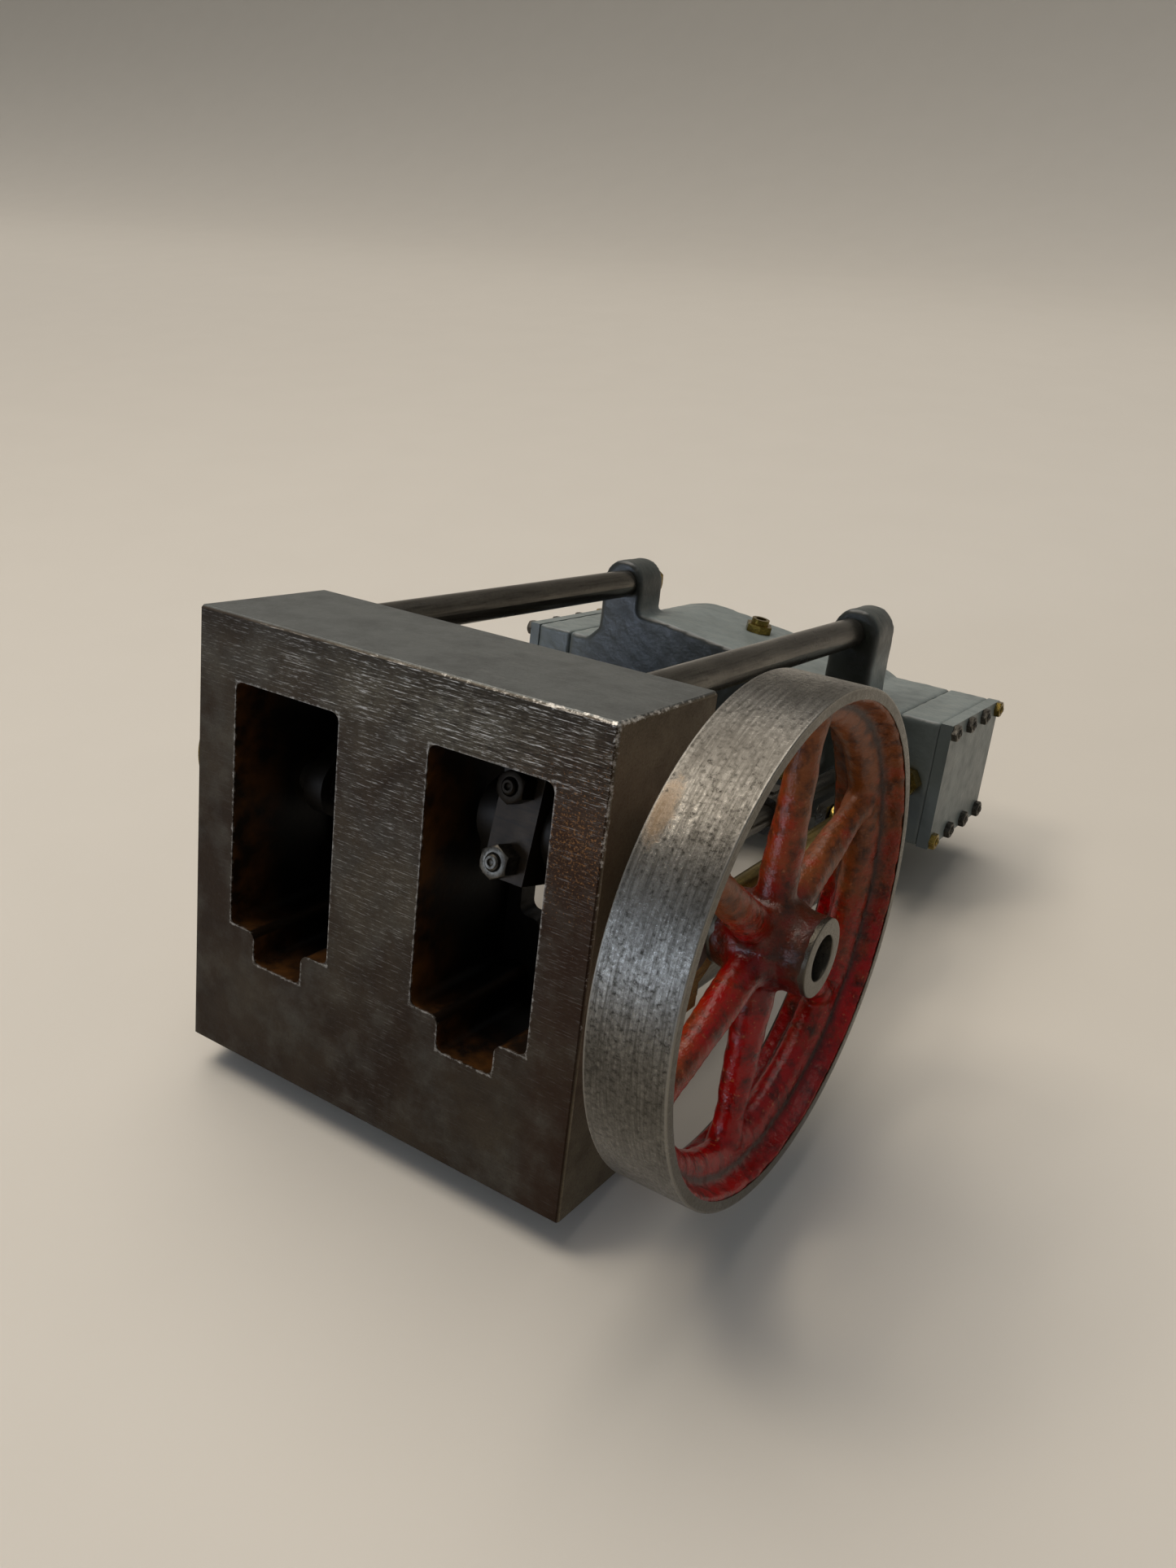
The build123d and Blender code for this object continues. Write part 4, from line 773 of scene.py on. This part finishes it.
class ENGINE_OT_flywheel(Operator):
    """Cast flywheel: turned rim, inner bead, round spokes and a long bored hub"""

    bl_idname = "engine.flywheel"
    bl_label = "Flywheel"

    def execute(self, context):
        look = context.scene.engine_flywheel
        centre = np.array((0.0, 0.0, CRANK_HEIGHT))
        inner, middle, outer = WHEEL_INNER, WHEEL_MIDDLE, WHEEL_MIDDLE + RIM_HALF
        lip = WHEEL_RADIUS - look.rim_lip / MM
        root = lip - look.rim_draft / MM
        crown = WHEEL_RADIUS - look.bead_depth / MM
        half = look.bead_width / MM / 2
        hub_radius, swell = look.hub_radius / MM, look.hub_swell / MM
        swell_half = look.hub_swell_width / MM / 2
        bore = look.bore / MM

        # Rim: a thin turned hoop with a lip at either face, its back sunk in the casting
        hoop = [(lip + HOOP_BACK, middle), (lip + HOOP_SHOULDER, inner + HOOP_LIP)]
        hoop += [(lip, inner), (WHEEL_RADIUS, inner)]
        hoop += [(radius, inner + outer - height) for radius, height in reversed(hoop)]
        rim = turned(softened(hoop, HOOP_EASE), centre, ALONG, segments=256)

        # Casting: the sloping inside of the rim with its bead, the hub with its swelling, the spokes
        swing = np.linspace(np.pi, 0, num=17)
        bead = np.stack((root - (root - crown) * np.sin(swing), middle + half * np.cos(swing)), 1)
        ends = [(lip + CAST_OVERLAP, inner + CAST_SHORT), (lip - CAST_STEP, inner + CAST_SHORT)]
        ends += [(radius, inner + outer - height) for radius, height in reversed(ends)]
        slope = [*ends[:2], *bead.tolist(), *ends[2:], ends[0]]
        hub = [(bore + HUB_SKIN, HUB_INNER + HUB_SHORT), (hub_radius, HUB_INNER + HUB_SHORT)]
        hub += [(hub_radius, middle - swell_half - HUB_RUNOUT), (hub_radius + swell, middle - swell_half)]
        hub += [(hub_radius + swell, middle + swell_half), (hub_radius, middle + swell_half + HUB_RUNOUT)]
        hub += [(hub_radius, HUB_OUTER - HUB_SHORT), (bore + HUB_SKIN, HUB_OUTER - HUB_SHORT), hub[0]]
        shells = [turned(slope, centre, ALONG, segments=192)]
        shells.append(turned(softened(hub, HUB_EASE), centre, ALONG, segments=72))
        reach = np.linspace(bore + SPOKE_START, root - SPOKE_SUNK, num=40)
        share = (reach - reach[0]) / (reach[-1] - reach[0])
        radius = (look.spoke_root * (1 - share) + look.spoke_tip * share) / MM
        radius = radius + SPOKE_FLARE * np.exp(-(crown - reach) / FLARE_RUN).clip(0, 1)
        spoke = np.stack((radius, reach), 1)
        spoke = np.concatenate(([(0.0, reach[0])], spoke, [(0.0, reach[-1])]))
        for turn in look.spoke_phase + np.arange(look.spoke_count) * 2 * np.pi / look.spoke_count:
            out = (0.0, -np.sin(turn), np.cos(turn))
            shells.append(turned(spoke, centre + (middle, 0, 0), out, segments=40))
        casting = cast(*gathered(shells), voxel=0.6, rounds=8, lumps=0.06)

        # Hub: a turned sleeve whose bright ends and bore show
        face = hub_radius - SLEEVE_UNDER
        sleeve = [(bore, HUB_INNER), (face, HUB_INNER), (face, HUB_OUTER), (bore, HUB_OUTER)]
        sleeve = softened([*sleeve, sleeve[0]], SLEEVE_EASE)
        steel = gathered([rim, turned(sleeve, centre, ALONG, segments=72)])
        shells = [(*casting, red_enamel(look)), (*steel, turned_steel(look))]
        piece("flywheel_wheel", shells, "crank", ["flywheel"], crease=40.0)
        return {"FINISHED"}


# Pieces that turn in the wells, under splashed oil
RUNNING_GEAR = [
    f"{name}_{side}"
    for name in ("crank_webs", "crank_pin", "connecting_rod")
    for side in SIDES
]
BIG_END_CAPS = [f"big_end_cap_{side}" for side in SIDES]
BEARING_BRASSES = ["main_bushes", *(f"big_end_brasses_{side}" for side in SIDES)]
# Painted castings, each with the size in millimetres of the voxels that its edges are melted at
CASTINGS = {"cylinder_block": 0.8, "valve_chest_left": 0.6, "valve_chest_right": 0.6}


class ENGINE_OT_metalwork(Operator):
    """Painted castings with soft edges, and the steel and brass of the other pieces"""

    bl_idname = "engine.metalwork"
    bl_label = "Metalwork"

    def execute(self, context):
        look = context.scene.engine_metal
        paint = block_paint(look)
        steel = oiled_metal("oiled_steel", look.steel, look.dark_steel, metallic=0.85, patch=30.0)
        brass = oiled_metal("tarnished_brass", look.brass, look.dark_brass, metallic=0.9, patch=8.0)
        finishes = {"blue_grey_paint": paint, "dark_steel": steel, "brass": brass}
        for name, slot in SLOTS.items():
            if slot in finishes:
                dress([name], finishes[slot])
        oily = {"dark": look.black_oil, "patch": 5.0, "dull": 0.4}
        webs = oiled_metal("black_oiled_steel", look.black_steel, metallic=0.6, drawn=CROSSWISE, **oily)
        caps = oiled_metal("oiled_cap_steel", look.cap_steel, metallic=0.6, drawn=CROSSWISE, **oily)
        brasses = oiled_metal("black_oiled_brass", look.oily_brass, metallic=0.7, **oily)
        dress(RUNNING_GEAR, webs)
        dress(BIG_END_CAPS, caps)
        dress(BEARING_BRASSES, brasses)
        for name, voxel in CASTINGS.items():
            thing = nodes[name]
            mesh = thing.data
            points = np.zeros(len(mesh.vertices) * 3)
            mesh.vertices.foreach_get("co", points)
            corners = [list(face.vertices) for face in mesh.polygons]
            turn = np.array(thing.matrix_world)
            points = measure(points.reshape(-1, 3) @ turn[:3, :3].T + turn[:3, 3])
            skin = cast(points, np.array(corners), voxel, rounds=4, lumps=0.03)
            piece(name + "_casting", [(*skin, paint)], "frame", [name], crease=60.0)
        return {"FINISHED"}


# Heights and spacings of the fastened pieces, in engine millimetres
ROD_LENGTH = 43.0
BIG_END_FACE = 9.05
BIG_END_BOLTS = 7.15
CHEST_ROWS = (142.0, 154.667, 167.333, 180.0)
CHEST_BOLTS = 14.75
COVER_TOP = 186.0
COVER_RINGS = {"left": 21.65, "right": 15.3}
CYLINDER_X = 25.0
LUG_TOP = 152.5
COLUMNS = ((-34.5, -34.3), (34.5, -34.3), (-44.5, 28.3), (44.5, 28.3))
# Nuts on each cylinder cover, and the angle of the first in degrees
COVER_BOLTS = 6
COVER_FIRST = 30
# Radius of a stud and how far its end stands out of the nut, in millimetres
BIG_END_TIP = 0.8
CHEST_STUD, CHEST_TIP = 1.0, 0.4
COVER_STUD, COVER_TIP = 1.25, 0.5
COLUMN_STUD, COLUMN_TIP = 2.5, 0.8
# Nut: its turned top as a share of the flats, the slope of the cone that cuts its corners, and the
# chamfers at its thread and at the stud's end in millimetres
NUT_TOP, CONE_SLOPE = 0.95, 0.58
THREAD_CHAMFER, STUD_CHAMFER = 0.35, 0.3
# Centre hole in a stud's end: its radii as shares of the stud's, and the depths of its side and point
HOLE_MOUTH, HOLE_FOOT = 0.5, 0.4
HOLE_SIDE, HOLE_POINT = 0.5, 0.8


def nut(flats, height, stud, tip, foot, axis):
    """A hexagon nut with its corners turned off, and the end of a stud that stands out of it."""
    round_top = flats / 2 * NUT_TOP
    corner = flats / 3**0.5
    drop = CONE_SLOPE * (corner - round_top)
    shoulder = np.linspace((corner, height - drop), (round_top, height), num=7)
    end = height + tip
    profile = [(0, 0), (corner, 0), *shoulder.tolist()]
    profile += [(stud + THREAD_CHAMFER, height), (stud, height - STUD_CHAMFER)]
    profile += [(stud, end - STUD_CHAMFER), (stud - STUD_CHAMFER, end), (stud * HOLE_MOUTH, end)]
    profile += [(stud * HOLE_FOOT, end - HOLE_SIDE), (0, end - HOLE_POINT)]
    return turned(profile, foot, axis, segments=72, flats=flats)


class ENGINE_OT_fasteners(Operator):
    """Nuts with turned corners on the big ends, chests, covers and columns"""

    bl_idname = "engine.fasteners"
    bl_label = "Fasteners"

    def execute(self, context):
        sizes = context.scene.engine_fasteners
        look = context.scene.engine_metal
        oily = {"dark": look.black_oil, "metallic": 0.9, "patch": 3.0}
        steel = oiled_metal("nut_steel", look.steel, dull=0.3, **oily)
        # Steel blackened as painted shade, for the front nut of each big end
        black = oiled_metal("shaded_nut_steel", look.black_steel, dull=0.35, **oily)
        brass = oiled_metal("nut_brass", look.brass, look.dark_brass, metallic=0.9, patch=6.0)
        stud = sizes.big_end_stud / MM
        big_end = (sizes.big_end_flats / MM, sizes.big_end_height / MM, stud, BIG_END_TIP)
        chest = (sizes.chest_flats / MM, sizes.chest_height / MM, CHEST_STUD, CHEST_TIP)
        cover = (sizes.cover_flats / MM, sizes.cover_height / MM, COVER_STUD, COVER_TIP)
        column = (sizes.column_flats / MM, sizes.column_height / MM, COLUMN_STUD, COLUMN_TIP)
        brass_nuts, dark_nuts, cover_nuts = [], [], []
        for side, way in SIDES.items():
            pin = measure(joints[f"big_end_{side}_turn"]["pos_m"])
            rise = np.sqrt(ROD_LENGTH**2 - pin[1] ** 2)
            rod = np.array((0.0, -pin[1], rise)) / ROD_LENGTH
            across = np.array((0.0, rod[2], -rod[1])) * BIG_END_BOLTS
            shells = []
            # The front nut of each big end is blackened as painted shade, the rear one plain steel
            for bolt, finish in ((-1, black), (1, steel)):
                feet = [pin + end * BIG_END_FACE * rod + bolt * across for end in (-1, 1)]
                nuts = [nut(*big_end, foot, end * rod) for foot, end in zip(feet, (-1, 1))]
                shells.append((*gathered(nuts), finish))
            piece(f"big_end_nuts_{side}", shells, f"rod_{side}", [f"big_end_bolts_{side}"])
            face = max(abs(measure(corner)[0]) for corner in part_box(f"chest_cover_{side}"))
            for row in CHEST_ROWS:
                for bolt in (-1, 1):
                    bare = (row, bolt) in ((CHEST_ROWS[0], 1), (CHEST_ROWS[-1], -1))
                    kept = brass_nuts if bare else dark_nuts
                    kept.append(nut(*chest, (way * face, bolt * CHEST_BOLTS, row), (way, 0, 0)))
            for spin in np.radians(COVER_FIRST + 360 / COVER_BOLTS * np.arange(COVER_BOLTS)):
                ring = COVER_RINGS[side]
                foot = (way * CYLINDER_X + ring * np.cos(spin), ring * np.sin(spin), COVER_TOP)
                cover_nuts.append(nut(*cover, foot, (0, 0, 1)))
        column_nuts = [nut(*column, (*spot, LUG_TOP), (0, 0, 1)) for spot in COLUMNS]
        groups = {
            "chest_nuts": [(brass_nuts, brass), (dark_nuts, steel)],
            "cover_nuts": [(cover_nuts, brass)],
            "column_nuts": [(column_nuts, brass)],
        }
        for name, kinds in groups.items():
            shells = [(*gathered(nuts), material) for nuts, material in kinds]
            piece(f"{name}_turned", shells, "frame", [name])
        return {"FINISHED"}


# The camera that took the view: its place in engine millimetres and its angles above the floor
CAMERA_PLACE = (147.618, -93.16, -169.84)
CAMERA_AZIMUTH = float(np.radians(33.995))
CAMERA_ELEVATION = float(np.radians(28.955))
CAMERA_ROLL = float(np.radians(-0.466))

# Sweep in metres: the near end of its floor, the start and radius of its bend, the top of its wall
# and half its width; the second colour of its mottling
FLOOR_NEAR, BEND_START, BEND_RADIUS, WALL_TOP, SWEEP_HALF = -3.0, 1.2, 0.8, 1.3, 10.0
FLOOR_SHADE = "aca79d"

# Daylight from behind and from the left: its strength, width in degrees, tint and where it comes from
SUN_STRENGTH, SUN_WIDTH, SUN_TINT = 2.1, 50, "fff6ec"
SUN_FROM = (-0.32, 0.27, 0.98)
SKY = {"Color": linear("dfe2e6"), "Strength": 0.32}
LAMP_AIM = (0, 0, 0.05)
# Soft lamps, each with its side in metres, watts, beam in degrees, tint and place; both shine in
# the wheel's rim, and the beam of the low one keeps off the floor
SOFT_LAMPS = (
    ("roof_lamp", 0.26, 2.25, 180, "fff2e2", (-0.41, -0.24, 0.93)),
    ("window", 0.45, 0.48, 50, "d6e6ff", (-0.61, -1.35, 0.31)),
)


def plain_floor(look):
    """Matt pale board, which keeps the engine's shadow."""
    material, tree, shader, engine = begin("pale_board")
    mottle = add(tree, "TexNoise", {"Vector": engine, "Scale": 0.025, "Detail": 3.0})
    shade = add(tree, "MapRange", {0: mottle, 1: 0.3, 2: 0.7, 3: 0.0, 4: 0.06})
    tones = {SHARE: shade, UNDER: look.floor, OVER: linear(FLOOR_SHADE)}
    base = add(tree, "Mix", tones, MIXED, data_type="RGBA")
    feed(tree, shader, {"Base Color": base, "Roughness": 0.8, "Specular IOR Level": 0.2})
    return material


def aimed(name, light, spot, aim):
    """Put a lamp at a spot so that it faces a point."""
    thing = bpy.data.objects.new(name, light)
    bpy.context.scene.collection.objects.link(thing)
    axis, first, second = frame_about(np.array(spot) - np.array(aim))
    turn = Matrix(np.stack((first, second, axis), 1).tolist()).to_4x4()
    thing.matrix_world = Matrix.Translation(spot) @ turn


class ENGINE_OT_stage(Operator):
    """Pale floor that sweeps up behind, soft lamps and the camera"""

    bl_idname = "engine.stage"
    bl_label = "Stage"

    def execute(self, context):
        look = context.scene.engine_stage
        # Sweep: a straight floor, a quarter circle and a wall, carried sideways
        bend = np.linspace(0, np.pi / 2, num=25)
        curve = np.stack((np.sin(bend), 1 - np.cos(bend)), 1) * BEND_RADIUS + (BEND_START, 0.0)
        wall = (BEND_START + BEND_RADIUS, WALL_TOP)
        line = np.concatenate(([(FLOOR_NEAR, 0.0)], curve, [wall]))
        sideways = np.linspace(-SWEEP_HALF, SWEEP_HALF, num=9)
        grid = np.stack(np.broadcast_arrays(sideways[None, :], line[:, :1], line[:, 1:]), -1)
        rows, columns = grid.shape[:2]
        row = np.arange(rows - 1)[:, None] * columns
        column = np.arange(columns - 1)[None, :]
        corners = (row + column, row + column + 1, row + columns + column + 1, row + columns + column)
        faces = np.stack(corners, -1).reshape(-1, 4)
        mesh = bpy.data.meshes.new("sweep")
        mesh.from_pydata(grid.reshape(-1, 3).tolist(), [], faces.tolist())
        mesh.shade_smooth()
        mesh.materials.append(plain_floor(look))
        sweep = bpy.data.objects.new("sweep", mesh)
        context.scene.collection.objects.link(sweep)

        sun = bpy.data.lights.new("skylight", "SUN")
        sun.energy = SUN_STRENGTH
        sun.angle = float(np.radians(SUN_WIDTH))
        sun.color = linear(SUN_TINT)[:3]
        aimed("skylight", sun, SUN_FROM, (0, 0, 0))
        for name, size, energy, spread, tint, spot in SOFT_LAMPS:
            lamp = bpy.data.lights.new(name, "AREA")
            lamp.size = size
            lamp.energy = energy
            lamp.spread = float(np.radians(spread))
            lamp.color = linear(tint)[:3]
            aimed(name, lamp, spot, LAMP_AIM)
        world = bpy.data.worlds.new("studio")
        world.use_nodes = True
        feed(world.node_tree, world.node_tree.nodes["Background"], SKY)
        context.scene.world = world
        context.scene.view_settings.view_transform = "Standard"

        flat = np.array((np.cos(CAMERA_AZIMUTH), np.sin(CAMERA_AZIMUTH), 0.0))
        ahead = np.array((-np.sin(CAMERA_AZIMUTH), np.cos(CAMERA_AZIMUTH), 0.0))
        forward = ahead * np.cos(CAMERA_ELEVATION) - np.array((0, 0, 1)) * np.sin(CAMERA_ELEVATION)
        over = np.cross(flat, forward)
        right = np.cos(CAMERA_ROLL) * flat + np.sin(CAMERA_ROLL) * over
        upward = np.cross(right, forward)
        camera = bpy.data.objects.new("camera", bpy.data.cameras.new("camera"))
        camera.data.lens = look.lens
        camera.data.sensor_width = 36.0
        camera.data.clip_start = 0.01
        turn = Matrix(np.stack((right, upward, -forward), 1).tolist()).to_4x4()
        camera.matrix_world = Matrix.Translation(place(CAMERA_PLACE).tolist()) @ turn
        context.scene.collection.objects.link(camera)
        context.scene.camera = camera
        return {"FINISHED"}


OPERATORS = (
    ENGINE_OT_bedplate,
    ENGINE_OT_flywheel,
    ENGINE_OT_metalwork,
    ENGINE_OT_fasteners,
    ENGINE_OT_stage,
)
GROUPS = {
    "engine_bedplate": BedplateFinish,
    "engine_flywheel": FlywheelShape,
    "engine_metal": MetalColours,
    "engine_fasteners": FastenerSizes,
    "engine_stage": StageSetting,
}


class ENGINE_PT_sidebar(Panel):
    """Settings and steps of the engine"""

    bl_idname = "ENGINE_PT_sidebar"
    bl_label = "Steam engine"
    bl_space_type = "VIEW_3D"
    bl_region_type = "UI"
    bl_category = "Steam engine"

    def draw(self, context):
        for name, group in GROUPS.items():
            box = self.layout.box()
            for key in group.__annotations__:
                box.prop(getattr(context.scene, name), key)
        for operator in OPERATORS:
            self.layout.operator(operator.bl_idname)


def register():
    for group in GROUPS.values():
        bpy.utils.register_class(group)
    for name, group in GROUPS.items():
        setattr(bpy.types.Scene, name, PointerProperty(type=group))
    for kind in (*OPERATORS, ENGINE_PT_sidebar):
        bpy.utils.register_class(kind)


def unregister():
    for kind in (ENGINE_PT_sidebar, *reversed(OPERATORS)):
        bpy.utils.unregister_class(kind)
    for name, group in GROUPS.items():
        delattr(bpy.types.Scene, name)
        bpy.utils.unregister_class(group)


def main():
    register()
    bpy.ops.engine.bedplate()
    bpy.ops.engine.flywheel()
    bpy.ops.engine.metalwork()
    bpy.ops.engine.fasteners()
    bpy.ops.engine.stage()


if __name__ == "__main__":
    main()
